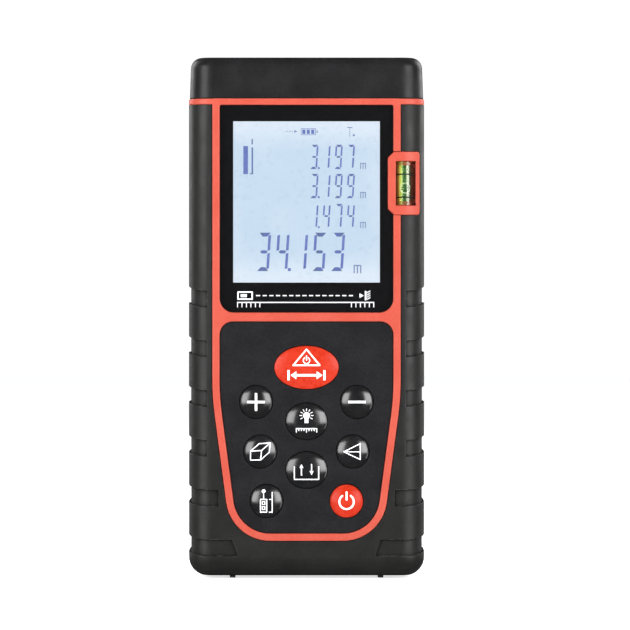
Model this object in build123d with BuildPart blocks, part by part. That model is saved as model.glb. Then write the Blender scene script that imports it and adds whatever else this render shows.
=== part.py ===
"""Pocket laser distance meter, standing on its base end.

Frame: millimetres, +Z up along the meter's length, the laser leaves at the top, the display
faces -Y, +X is to the viewer's right. The origin is the middle of the footprint, at the tips of
the base studs, which is the plane that distances are measured from.
"""

from build123d import *
import os

# ---------------------------------------------------------------- driving dimensions
LENGTH = 118.0  # stud tips to laser end
WIDTH = 53.4
BACK_Y = 14.0  # back of the housing
CROWN_Y = -14.0  # crowns of the keys
FRAME_Y = -13.4  # front of the red frame
GRIP_Y = -13.1  # front of the rubber grip
EDGE_R = 5.2  # round of every long edge of the housing
BASE_R = 4.2  # round of the edges round the base
GRIP_T = 1.2  # rubber over the hard shells
WALL = 1.4  # hard shell walls
PARTING_Y = 1.0  # where the front and rear shells meet
STUD_H = 0.6
BAND_Z = 107.3  # underside of the red band
CAP_Z = 108.6  # top of the red band, underside of the end cap
NECK_Z = 112.0  # top of the spigot inside the end cap
FIT = 0.15  # clearance between pieces that are fitted together
GAP = 0.1  # clearance round pieces that move or are slipped in
SEAT_GAP = 0.05  # clearance of pieces that are glued into a seat
OVER = 1.0  # how far a cut reaches past the surface it cuts
THROUGH = 10.0  # length of a cut that runs out of the object
FAR = 150.0  # half size of a block that clears away everything on one side
MID_Y = (GRIP_Y + BACK_Y) / 2
HOUSING_D = BACK_Y - GRIP_Y
INNER_FRONT_Y = GRIP_Y + GRIP_T + WALL
REAR_BLOCK_Y = 12.5  # blocks on the inside of the back end in the rear wall here
HOLLOW_TOP = 3.6  # the shells narrow this far below the red band's top
BAND_CORNER_R = 5.2  # corners of the red band, seen from the top

# ---------------------------------------------------------------- spigot and end cap
NECK_HALF = 24.45
NECK_WALL = 1.35
NECK_Y = (-11.3, 11.9)
NECK_R = 3.6
NECK_ROOT = 4.0  # the space in the spigot starts this far below it
SNAP_Z = 110.4
SNAP_YS = (-5.0, 7.0)
SNAP_SIZE = (0.7, 5.0, 0.8)
CAP_W, CAP_D = 53.0, 27.0
CAP_MID_Y = 0.35
CAP_TAPER, CAP_INSIDE_TAPER = 2.0, 1.5
CAP_TOP_R = 2.5
CAP_INSIDE_Z = LENGTH - 2.0
OPENING_BEVEL = 1.2

# ---------------------------------------------------------------- red frame and its two panels
FRAME_HALF = 21.3  # half width of the frame's outer edge, above the knee
FRAME_BOTTOM_Z = 8.6
KNEE_Z = 41.0  # below this the frame tapers
KNEE_R = 60.0
FOOT_HALF = 17.0  # where the tapered sides would meet the bottom edge
FOOT_R = 10.0
FRAME_BAR = 1.65  # width of the frame's bars
FRAME_ROOT_Y = -6.0  # the frame's wall reaches this deep into the shell
WINDOW_Z = (60.2, 107.2)
WINDOW_HALF = 19.65
WINDOW_CORNER_R, WINDOW_TOP_R = 3.2, 0.5
WINDOW_Y = -13.1
WINDOW_T = 1.1
WINDOW_BEVEL = 0.12
MASK_T = 0.1
FILM_T = 0.02  # adhesive between window, printed mask and casing
MASK_Y = WINDOW_Y + WINDOW_T + FILM_T  # front of the printed mask
VIEW_HALF = 16.6  # lit area of the display
VIEW_Z = (67.0, 103.5)
PANEL_TOP_Z = 58.2
PANEL_CORNER_R = 3.0
PANEL_Y = -12.9
PANEL_T = 1.4
PANEL_ROUND = 0.15
LEDGE = 1.2  # width of the ledges that carry the window and the panel

# ---------------------------------------------------------------- keys: x, z, half width, half height
KEYS = {
    "key_measure": (0.0, 47.8, 7.25, 4.85),
    "key_plus": (-11.4, 40.0, 3.7, 3.7),
    "key_minus": (11.4, 40.0, 3.7, 3.7),
    "key_light": (0.0, 35.6, 4.65, 4.1),
    "key_volume": (-10.45, 28.8, 3.7, 3.7),
    "key_triangle": (10.45, 28.8, 3.7, 3.7),
    "key_memory": (0.0, 24.6, 4.65, 4.1),
    "key_reference": (-9.05, 17.6, 3.7, 3.7),
    "key_power": (9.05, 17.6, 3.7, 3.7),
}
KEY_RIM_Y = PANEL_Y - 0.1  # where the dome starts
DOME_SPREAD = 1.12  # the dome is part of an ellipsoid this much wider than the key
DOME_DEPTH = (KEY_RIM_Y - CROWN_Y) / (1 - (1 - DOME_SPREAD**-2) ** 0.5)
KEY_GAP = 0.15
KEY_LIP = 0.7  # how far the retaining flange reaches under the panel
FLANGE_Y = (PANEL_Y + PANEL_T + GAP, -10.6)
STEM_R = 1.5
STEM_END_Y = -7.75

# ---------------------------------------------------------------- level vial, in the right edge
LEVEL_Z = (82.3, 96.6)
LEVEL_X = (18.4, 25.6)
LEVEL_CHAMFER, LEVEL_CORNER_R = 1.4, 0.6
LEVEL_BACK_Y = -6.8
LEVEL_ARM = 2.15  # bracket above and below the vial's pocket
LEVEL_POCKET_X = (20.2, 24.7)
LEVEL_FLOOR_Y = -8.4
LEVEL_WALL_Y = (-11.9, -11.2)  # front of the wall right of the vial, at its inner and outer side
CRADLE_INSET, CRADLE_T, CRADLE_DEPTH = 1.0, 0.8, 0.6
VIAL_X, VIAL_Y = 22.3, -10.85
VIAL_R, VIAL_BORE = 1.95, 1.45
VIAL_MID_Z = (LEVEL_Z[0] + LEVEL_Z[1]) / 2
VIAL_LENGTH = 9.8
PLUG_T = 0.8
CHANNEL_R, CHANNEL_SHIFT = 1.3, 0.3  # room for the bubble along the front of the fluid
BUBBLE_R, BUBBLE_SHIFT = 1.15, 0.2
BUBBLE_LENGTH = 2.4
BUBBLE_Z = 88.4
BUBBLE_ROUND = 1.05
INDEX_Z = (86.3, 91.5)
INDEX_T, INDEX_H = 0.06, 0.3

# ---------------------------------------------------------------- display and circuit board
BOARD_Y = (-6.8, -5.6)
BOARD_HALF = 22.0
BOARD_Z = (7.5, 104.0)
LOW_NOTCH, TOP_NOTCH = (10.6, 7.0), (8.2, 6.8)  # sizes of the cut-outs at the board's corners
LCD_HALF, LCD_Z = 17.2, (64.5, 105.6)
LCD_Y = (-11.6, -9.8)
LIGHT_BACK_Y = -7.4
ZEBRA_HALF, ZEBRA_TOP_Z = 16.2, 66.4
FRAME_WALL, FRAME_TOP_WALL = 0.9, 0.3
MAT_HALF, MAT_Z, MAT_T = 17.5, (12.0, 56.5), 0.8
WEB_BASE_R, WEB_TOP_R, WEB_H = 3.4, 2.2, 1.4
WEB_WALL, WEB_TOP_T = 0.4, 0.5
CHIPS = [  # middle x, middle z, width, height, thickness
    (3.0, 38.0, 10.0, 10.0, 1.1),
    (-11.0, 40.0, 6.5, 5.0, 1.1),
    (-10.5, 22.0, 5.0, 4.0, 1.3),
    (12.5, 22.5, 4.0, 4.0, 1.8),
    (15.8, 37.0, 3.2, 8.0, 1.2),
    (3.0, 50.0, 3.2, 1.6, 0.8),
    (-4.0, 29.0, 2.0, 1.2, 0.8),
    (1.0, 28.5, 2.0, 1.2, 0.8),
    (10.5, 50.5, 2.0, 3.2, 0.9),
]
BUZZER_X, BUZZER_Z = -15.0, 64.0
BUZZER_R, BUZZER_H = 4.5, 2.6
BUZZER_HOLE_R, BUZZER_HOLE_D = 0.8, 0.6
CAPACITOR_X, CAPACITOR_Z = 16.5, 56.0
CAPACITOR_R, CAPACITOR_L = 2.0, 7.0

# ---------------------------------------------------------------- optics
OPTICS_Y = 2.6
RECEIVER_X, LASER_X = 7.0, -12.5
CHASSIS_T = 2.0
CHASSIS_Z = (71.0, 113.6)
PLATE_Y = (BOARD_Y[1], BOARD_Y[1] + CHASSIS_T)
PLATE_HALF, PLATE_TOP_Z = 17.6, 103.0
EAR_X, EAR_HALF = (17.0, 22.3), 2.0
RECEIVER_BLOCK_HALF, RECEIVER_BLOCK_BACK, RECEIVER_BLOCK_TOP = 6.2, 8.6, 98.0
BARREL_R, BARREL_FOOT_Z = 7.6, 92.0
CONE_Z, CONE_R, CONE_LEDGE = 75.0, 2.0, 0.6  # light cone between the sensor and the lens
SENSOR_SEAT_H, SENSOR_BORE_R, SENSOR_BORE_H = 3.4, 1.6, 5.0
LENS_R, LENS_Z, LENS_EDGE, LENS_BULGE = 6.8, 110.8, 2.0, 1.6
RECEIVER_OPENING_R, LASER_OPENING_R = 6.3, 2.6
LASER_BLOCK_HALF, LASER_BLOCK_Z = 4.9, (76.0, 99.5)
LASER_R, LASER_Z = 4.0, (86.0, 111.0)
LASER_BORE_R = 1.6
DIODE_R, DIODE_T, DIODE_CAN_R, DIODE_CAN_H = 2.8, 1.2, 1.8, 3.4
DIODE_Z = LASER_Z[0] + 0.4
DIODE_SEAT_H = 4.0
DIODE_PINS = [(-1, 0), (1, 0), (0, 1)]
DIODE_PIN_R, DIODE_PIN_L = 0.22, 6.5
COLLIMATOR_R, COLLIMATOR_T = 3.0, 1.2
COLLIMATOR_TOP_R, COLLIMATOR_BULGE, COLLIMATOR_SEAT_H = 1.6, 0.8, 4.0
LASER_WINDOW_R, LASER_WINDOW_T = 3.6, 1.0
TURNED_FIT = 0.02  # clearance of turned pieces in their bores
SENSOR_R, SENSOR_FLANGE_T, SENSOR_CAN_R, SENSOR_CAN_H = 2.7, 1.0, 2.3, 3.0
SENSOR_BOARD_HALF, SENSOR_BOARD_DEPTH, SENSOR_BOARD_T = 6.0, 5.4, 1.2
SHIELD_INSET, SHIELD_H, SHIELD_T = 0.6, 4.4, 0.3
RIBBON_HALF, RIBBON_T, RIBBON_LOW_Z, RIBBON_BEND = 3.0, 0.2, 60.0, 0.5

# ---------------------------------------------------------------- batteries and their cover
CELL_R, CELL_LENGTH = 5.25, 44.5
NUB_R, NUB_H = 1.9, 1.2
CELL_RING = 0.35  # rolled shoulder at both ends of a cell
CELL_X, CELL_Y = 5.45, 6.15
BAY_HALF = 10.9
BAY_Z = (9.0, 57.5)
BAY_FLOOR_Y, BAY_FLOOR_T = 0.4, 1.0
BAY_WALL = 1.2
CONTACT_T = 0.4
CONTACT_HALF, CONTACT_Y = 4.6, (1.2, 11.0)
TAB_HALF = 1.5
SPRING_H = BAY_Z[1] - BAY_Z[0] - 2 * CONTACT_T - CELL_LENGTH
SPRING_R, WIRE_R, SPRING_PITCH = 2.6, 0.25, 0.75
SPRING_GAP = 0.01  # keeps the coil just clear of the plates
COVER_HALF = 13.1
COVER_Y = (12.3, 13.9)
COVER_TOP_Z = 60.4
COVER_CORNER_R = 1.2
RECESS_TOP_Z = COVER_TOP_Z + 0.2
HINGE_Y, HINGE_Z = 13.1, 8.4
HINGE_R = 0.8
NIB_R, NIB_L, NIB_FIT = 0.6, 1.1, 0.06
LATCH_HALF = 4.5
LATCH_ROOT_Y, LATCH_ROOT_Z = 12.9, 51.0
LATCH_ROOT_R = 0.25
LATCH_ROOT_GAP = 0.05
LATCH_GAP = 0.45
LATCH_TOP_Z = 60.2
LATCH_POCKET_Y = 9.5
LATCH_SWING_Y = (11.0, 13.0)
LATCH_ROOM = 0.6  # room on both sides of the latch behind the cover
LATCH_LIP = 0.4  # the pocket runs this far behind the lip over the nose
NOSE_HALF, NOSE_Y, NOSE_Z = 3.6, (10.9, 12.0), (59.4, 60.8)
SCOOP_R, SCOOP_DEPTH = 6.2, 1.0
GROOVES_Z = (54.0, 55.6, 57.2)
GROOVE_HALF, GROOVE_DEPTH, GROOVE_INSET = 0.3, 0.3, 1.0
BACK_PANEL_HALF = 22.2  # hard panel in the middle of the back
BACK_PANEL_BOTTOM_Z = 3.8
BACK_PANEL_R = 4.0
BACK_PANEL_T = 5.0
LABEL_HALF, LABEL_Z, LABEL_T = 15.5, (68.0, 98.0), 0.15
LABEL_R, LABEL_SINK, LABEL_GAP = 1.5, 0.1, 0.2
STRAP_X, STRAP_Y, STRAP_Z = (-19.4, -15.6), 10.2, (20.0, 28.0)
STRAP_WALL = 1.2
STRAP_PIN_R, STRAP_PIN_Y, STRAP_PIN_Z = 0.7, 12.9, 24.0
STRAP_PIN_X = (-20.2, -14.6)

# ---------------------------------------------------------------- fasteners
CASE_SCREWS = [(-20.2, 103.0), (20.2, 103.0), (-19.5, 7.5), (19.5, 7.5)]
CASE_SEAT_Y, CASE_TIP_Y, CASE_HOLE_Y = 4.0, -5.5, -7.0
CASE_HEAD_R, CASE_HEAD_H, CASE_SHANK_R = 1.75, 1.3, 1.0
SMALL_TIP_Y, SMALL_HOLE_Y = -9.6, -10.0
SMALL_HEAD_R, SMALL_HEAD_H, SMALL_SHANK_R = 1.5, 1.0, 0.8
SMALL_HOLE_R = 1.0
BOSS_R, POST_R, BOSS_ROOT = 2.0, 1.7, 0.4
TOWER_R, TOWER_TOP_Y = 3.1, 12.0  # the screw towers end inside the rear wall
CROSS_LENGTH, CROSS_WIDTH = 1.3, 0.25  # drive recess, in head radii
SEAL_INSET = (0.4, 1.0)  # the seal lies between these insets in the shell wall
SEAL_D = 0.6
SEAL_TOP = 3.0  # the seal ends this far below the red band's top
BOARD_SCREWS = [(-19.8, 14.5), (19.8, 14.5)]
CHASSIS_SCREWS = [(-20.5, 79.0), (20.5, 79.0), (-20.5, 98.8), (20.5, 98.8)]
STUDS = [(x, y) for x in (-16.8, 16.8) for y in (-6.5, 7.5)]
STUD_R = 0.65
STUD_TOP_Z = 2.4

# ---------------------------------------------------------------- grip bands
BAND_TOP_Z = 65.1  # top of the highest recessed band
BAND_PITCH = 11.25
BAND_H = 3.75
BAND_DEPTH = 0.5
BAND_RISE = 1.2  # how far a band climbs as it goes round the housing's long edge
BAND_INNER = [22.5, 22.5, 22.5, 22.5, 19.9, 15.5]  # where each band ends on the flat faces
LAST_BAND_SLANT = 1.3  # the lowest band's end leans outwards this much over its height
BAND_LEAD = 0.5  # the bands of the two shells overlap this much at the parting line
EDGE = 0.25  # small round on moulded edges

GROWS = (Align.CENTER, Align.CENTER, Align.MIN)
BELOW = (Align.CENTER, Align.CENTER, Align.MAX)


# ================================================================ helpers
def front_plane(y):
    """Plane at depth y whose sketch axes are X and Z. Extruding from it goes towards the viewer."""
    return Plane.XZ.offset(-y)


def block(x, y, z):
    """Box from its limits on each axis, for use inside a part."""
    size = [hi - lo for lo, hi in (x, y, z)]
    middle = [(hi + lo) / 2 for lo, hi in (x, y, z)]
    return Pos(*middle) * Box(*size, mode=Mode.PRIVATE)


def towards_front(x, y, z):
    """Location whose local +Z points at the viewer."""
    return Location((x, y, z), (90, 0, 0))


def envelope(inset, top_z):
    """The housing's outer skin as a solid, moved in by inset, from the base up to top_z."""
    base = STUD_H + inset
    with BuildPart() as skin:
        with Locations((0, MID_Y, base)):
            Box(WIDTH - 2 * inset, HOUSING_D - 2 * inset, top_z - base, align=GROWS)
        fillet(skin.edges().filter_by(Axis.Z), EDGE_R - inset)
        fillet(skin.faces().sort_by(Axis.Z)[0].edges(), BASE_R - inset)
    return skin.part


def frame_outline(inset):
    """Front view of the red frame's outer edge, moved in by inset."""
    with BuildSketch() as outline:
        with BuildLine():
            FilletPolyline(
                (-FRAME_HALF, CAP_Z),
                (-FRAME_HALF, KNEE_Z),
                (-FOOT_HALF, FRAME_BOTTOM_Z),
                (FOOT_HALF, FRAME_BOTTOM_Z),
                (FRAME_HALF, KNEE_Z),
                (FRAME_HALF, CAP_Z),
                radius=[KNEE_R, FOOT_R, FOOT_R, KNEE_R],
            )
            Line((-FRAME_HALF, CAP_Z), (FRAME_HALF, CAP_Z))
        make_face()
        if inset:
            offset(amount=-inset)
    return outline.sketch


def panel_outline(inset):
    """Front view of the keypad panel, moved in by inset."""
    bar = FRAME_BAR + inset
    top = PANEL_TOP_Z - inset
    keep = frame_outline(bar)
    with BuildSketch() as outline:
        add(keep)
        with Locations((0, top)):
            Rectangle(WIDTH, top, align=(Align.CENTER, Align.MAX), mode=Mode.INTERSECT)
        fillet(outline.vertices().group_by(Axis.Y)[-1], PANEL_CORNER_R - inset)
    return outline.sketch


def bracket_outline(grow):
    """Front view of the level bracket, chamfered on the left, rounded on the right, grown all round."""
    (x0, x1), (z0, z1) = LEVEL_X, LEVEL_Z
    with BuildSketch() as outline:
        with BuildLine():
            Polyline(
                (x0, z0 + LEVEL_CHAMFER),
                (x0 + LEVEL_CHAMFER, z0),
                (x1, z0),
                (x1, z1),
                (x0 + LEVEL_CHAMFER, z1),
                (x0, z1 - LEVEL_CHAMFER),
                close=True,
            )
        make_face()
        fillet(outline.vertices().group_by(Axis.X)[-1], LEVEL_CORNER_R)
        if grow:
            offset(amount=grow, kind=Kind.INTERSECTION)
    return outline.sketch


def window_seat():
    """Front view of the recess for the display window: near-square top corners, round below."""
    z0, z1 = WINDOW_Z
    with BuildSketch() as outline:
        with Locations((0, (z0 + z1) / 2)):
            Rectangle(2 * WINDOW_HALF, z1 - z0)
        fillet(outline.vertices().group_by(Axis.Y)[0], WINDOW_CORNER_R)
        fillet(outline.vertices().group_by(Axis.Y)[-1], WINDOW_TOP_R)
    return outline.sketch


def window_outline(inset):
    """Front view of the display window, moved in by inset, with a notch for the level bracket."""
    seat = window_seat()
    notch = bracket_outline(GAP + inset)
    with BuildSketch() as outline:
        add(seat)
        offset(amount=-inset)
        add(notch, mode=Mode.SUBTRACT)
    return outline.sketch


def back_outline():
    """Back view of the hard panel in the middle of the back."""
    top = CAP_Z + BACK_PANEL_R
    with BuildSketch() as outline:
        with Locations((0, (BACK_PANEL_BOTTOM_Z + top) / 2)):
            RectangleRounded(2 * BACK_PANEL_HALF, top - BACK_PANEL_BOTTOM_Z, BACK_PANEL_R)
        with Locations((0, CAP_Z)):
            Rectangle(WIDTH, CAP_Z, align=(Align.CENTER, Align.MAX), mode=Mode.INTERSECT)
    return outline.sketch


def band_cutters(front):
    """The six recessed grip bands on both sides, as solids that bite into the rubber skin."""
    face_y, inwards = (GRIP_Y, 1) if front else (BACK_Y, -1)
    path = [
        (face_y - inwards * OVER, -OVER * BAND_RISE / EDGE_R),
        (face_y + inwards * EDGE_R, BAND_RISE),
        (PARTING_Y + inwards * BAND_LEAD, BAND_RISE),
    ]
    outer = envelope(-OVER, BAND_Z)
    inner = envelope(BAND_DEPTH, BAND_Z)
    with BuildPart() as bands:
        for side in (-1, 1):
            for number, reach in enumerate(BAND_INNER):
                top = BAND_TOP_Z - number * BAND_PITCH
                low = top - BAND_H
                with BuildSketch(Plane.YZ.offset(side * reach)):
                    with BuildLine():
                        Polyline(
                            *[(y, low + rise) for y, rise in path],
                            *[(y, top + rise) for y, rise in reversed(path)],
                            close=True,
                        )
                    make_face()
                extrude(amount=side * WIDTH / 2)
        foot = BAND_TOP_Z - (len(BAND_INNER) - 1) * BAND_PITCH - BAND_H
        for side in (-1, 1):
            with BuildSketch(front_plane(GRIP_Y + OVER)):
                with BuildLine():
                    Polyline(
                        (side * (BAND_INNER[-1] - OVER), foot),
                        (side * BAND_INNER[-1], foot),
                        (side * (BAND_INNER[-1] + 2 * LAST_BAND_SLANT), foot + 2 * BAND_H),
                        (side * (BAND_INNER[-1] - OVER), foot + 2 * BAND_H),
                        close=True,
                    )
                make_face()
            extrude(amount=THROUGH, mode=Mode.SUBTRACT)
        add(outer, mode=Mode.INTERSECT)
        add(inner, mode=Mode.SUBTRACT)
    return bands.part


def screws(places, seat_y, head_r, head_h, shank_r, tip_y):
    """Cross-recess screws driven from the back: heads on seat_y, tips at tip_y."""
    with BuildPart() as group:
        with Locations(*[towards_front(x, seat_y, z) for x, z in places]):
            Cylinder(head_r, head_h, align=BELOW)
            Cylinder(shank_r, seat_y - tip_y, align=GROWS)
            with Locations((0, 0, -head_h)):
                Box(CROSS_LENGTH * head_r, CROSS_WIDTH * head_r, head_h, mode=Mode.SUBTRACT)
                Box(CROSS_WIDTH * head_r, CROSS_LENGTH * head_r, head_h, mode=Mode.SUBTRACT)
    return group


def front_edges(built, y):
    """Edges of a part that lie in the plane at depth y."""
    return built.edges().filter_by_position(Axis.Y, y - 0.001, y + 0.001)


def save(name, built):
    """Writes one finished sub-part."""
    built.part.label = name
    export_step(built.part, f"parts/{name}.step")


os.makedirs("parts", exist_ok=True)

# shared solids, made outside every part
core = envelope(GRIP_T, CAP_Z)
core_hollow = envelope(GRIP_T + WALL, CAP_Z - HOLLOW_TOP)
grip_skin = envelope(0, BAND_Z - SEAT_GAP)
bracket_skin = envelope(FRAME_Y - GRIP_Y, BAND_Z)
frame_face = frame_outline(0)
panel_face = panel_outline(0)
panel_opening = panel_outline(LEDGE)
panel_seat = panel_outline(SEAT_GAP)
window_face = window_outline(SEAT_GAP)
window_recess = window_seat()
bracket_face = bracket_outline(0)
back_face = back_outline()
bracket_hole = bracket_outline(GAP)
front_half = block((-FAR, FAR), (-FAR, PARTING_Y), (-FAR, FAR))
rear_half = block((-FAR, FAR), (PARTING_Y, FAR), (-FAR, FAR))
seal_outer = envelope(GRIP_T + SEAL_INSET[0], BAND_Z)
seal_inner = envelope(GRIP_T + SEAL_INSET[1], BAND_Z)
seal_y = (PARTING_Y - SEAL_D, PARTING_Y)

with BuildPart() as case_seal:
    add(seal_outer)
    add(seal_inner, mode=Mode.SUBTRACT)
    add(block((-FAR, FAR), seal_y, (-FAR, CAP_Z - SEAL_TOP)), mode=Mode.INTERSECT)
seal_solid = case_seal.part
save("case_seal", case_seal)

with BuildPart() as datum_studs:
    with Locations(*[(x, y, 0) for x, y in STUDS]):
        Cylinder(STUD_R, STUD_TOP_Z, align=GROWS)
stud_solids = datum_studs.part
save("datum_studs", datum_studs)


# ================================================================ front shell
def band_and_neck():
    """Band that shows between grip and cap, and the spigot that the cap slides over."""
    with BuildPart() as collar:
        with BuildSketch(Plane.XY.offset(BAND_Z)):
            with Locations((0, (FRAME_Y + BACK_Y) / 2)):
                RectangleRounded(WIDTH, BACK_Y - FRAME_Y, BAND_CORNER_R)
        extrude(amount=CAP_Z - BAND_Z)
        fillet(collar.edges().filter_by(Axis.Z, reverse=True), EDGE)
        with BuildSketch(Plane.XY.offset(CAP_Z)):
            with Locations((0, sum(NECK_Y) / 2)):
                RectangleRounded(2 * NECK_HALF, NECK_Y[1] - NECK_Y[0], NECK_R)
        extrude(amount=NECK_Z - CAP_Z)
    return collar.part


def interior():
    """Space inside the shells, narrower at the neck."""
    with BuildPart() as space:
        add(core_hollow)
        with BuildSketch(Plane.XY.offset(CAP_Z - NECK_ROOT)):
            with Locations((0, sum(NECK_Y) / 2)):
                RectangleRounded(
                    2 * (NECK_HALF - NECK_WALL),
                    NECK_Y[1] - NECK_Y[0] - 2 * NECK_WALL,
                    NECK_R - NECK_WALL,
                )
        extrude(amount=NECK_Z - CAP_Z + NECK_ROOT)
    return space.part


def snap_nibs(grow, mode):
    """Four snap nibs of the cap, or with grow their recesses in the neck."""
    with Locations(*[(side * (NECK_HALF + FIT), y, SNAP_Z) for side in (-1, 1) for y in SNAP_YS]):
        Box(*[size + 2 * grow for size in SNAP_SIZE], mode=mode)


collar = band_and_neck()
space = interior()

with BuildPart() as front_casing:
    add(core)
    with BuildSketch(front_plane(FRAME_ROOT_Y)):
        add(frame_face)
    extrude(amount=FRAME_ROOT_Y - FRAME_Y)
    outer_rim = front_edges(front_casing, FRAME_Y).filter_by_position(Axis.Z, 0, CAP_Z - OVER)
    fillet(outer_rim, EDGE)
    with BuildSketch(front_plane(MASK_Y + MASK_T + FILM_T)):
        add(window_recess)
    extrude(amount=THROUGH, mode=Mode.SUBTRACT)
    with BuildSketch(front_plane(PANEL_Y + PANEL_T)):
        add(panel_face)
    extrude(amount=THROUGH, mode=Mode.SUBTRACT)
    inner_rims = front_edges(front_casing, FRAME_Y).filter_by_position(
        Axis.X, -WINDOW_HALF - GAP, WINDOW_HALF + GAP
    )
    fillet(inner_rims.filter_by_position(Axis.Z, FRAME_BOTTOM_Z + OVER, CAP_Z - OVER), EDGE)
    add(collar)
    add(space, mode=Mode.SUBTRACT)
    snap_nibs(GAP, Mode.SUBTRACT)
    add(rear_half, mode=Mode.SUBTRACT)
    # openings behind the window and the keypad panel
    add(
        block(
            (-WINDOW_HALF + LEDGE, WINDOW_HALF - LEDGE),
            (FRAME_Y - OVER, INNER_FRONT_Y + OVER),
            (WINDOW_Z[0] + LEDGE, WINDOW_Z[1] - LEDGE),
        ),
        mode=Mode.SUBTRACT,
    )
    with BuildSketch(front_plane(INNER_FRONT_Y + OVER)):
        add(panel_opening)
    extrude(amount=THROUGH, mode=Mode.SUBTRACT)
    # pocket for the level bracket, groove for the seal, holes for the base studs
    with BuildSketch(front_plane(LEVEL_BACK_Y)):
        add(bracket_hole)
    extrude(amount=THROUGH, mode=Mode.SUBTRACT)
    add(seal_solid, mode=Mode.SUBTRACT)
    add(stud_solids, mode=Mode.SUBTRACT)
    # screw bosses and board posts
    with BuildSketch(front_plane(PARTING_Y)):
        with Locations(*CASE_SCREWS):
            Circle(BOSS_R)
    extrude(amount=PARTING_Y - INNER_FRONT_Y + BOSS_ROOT)
    with BuildSketch(front_plane(BOARD_Y[0])):
        with Locations(*BOARD_SCREWS, *CHASSIS_SCREWS):
            Circle(POST_R)
    extrude(amount=BOARD_Y[0] - INNER_FRONT_Y + BOSS_ROOT)
    with BuildSketch(front_plane(PARTING_Y)):
        with Locations(*CASE_SCREWS):
            Circle(CASE_SHANK_R + TURNED_FIT)
    extrude(amount=PARTING_Y - CASE_HOLE_Y, mode=Mode.SUBTRACT)
    with BuildSketch(front_plane(BOARD_Y[0])):
        with Locations(*BOARD_SCREWS, *CHASSIS_SCREWS):
            Circle(SMALL_SHANK_R + TURNED_FIT)
    extrude(amount=BOARD_Y[0] - SMALL_HOLE_Y, mode=Mode.SUBTRACT)
save("front_casing", front_casing)

front_bands = band_cutters(True)
with BuildPart() as front_grip:
    add(grip_skin)
    add(core, mode=Mode.SUBTRACT)
    add(rear_half, mode=Mode.SUBTRACT)
    with BuildSketch(front_plane(INNER_FRONT_Y)):
        add(frame_face)
    extrude(amount=THROUGH, mode=Mode.SUBTRACT)
    rim = front_edges(front_grip, GRIP_Y)
    fillet(rim.filter_by_position(Axis.X, -FRAME_HALF - SEAT_GAP, FRAME_HALF + SEAT_GAP), EDGE)
    with BuildSketch(front_plane(LEVEL_BACK_Y)):
        add(bracket_hole)
    extrude(amount=THROUGH, mode=Mode.SUBTRACT)
    add(front_bands, mode=Mode.SUBTRACT)
    add(stud_solids, mode=Mode.SUBTRACT)
save("front_grip", front_grip)

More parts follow.
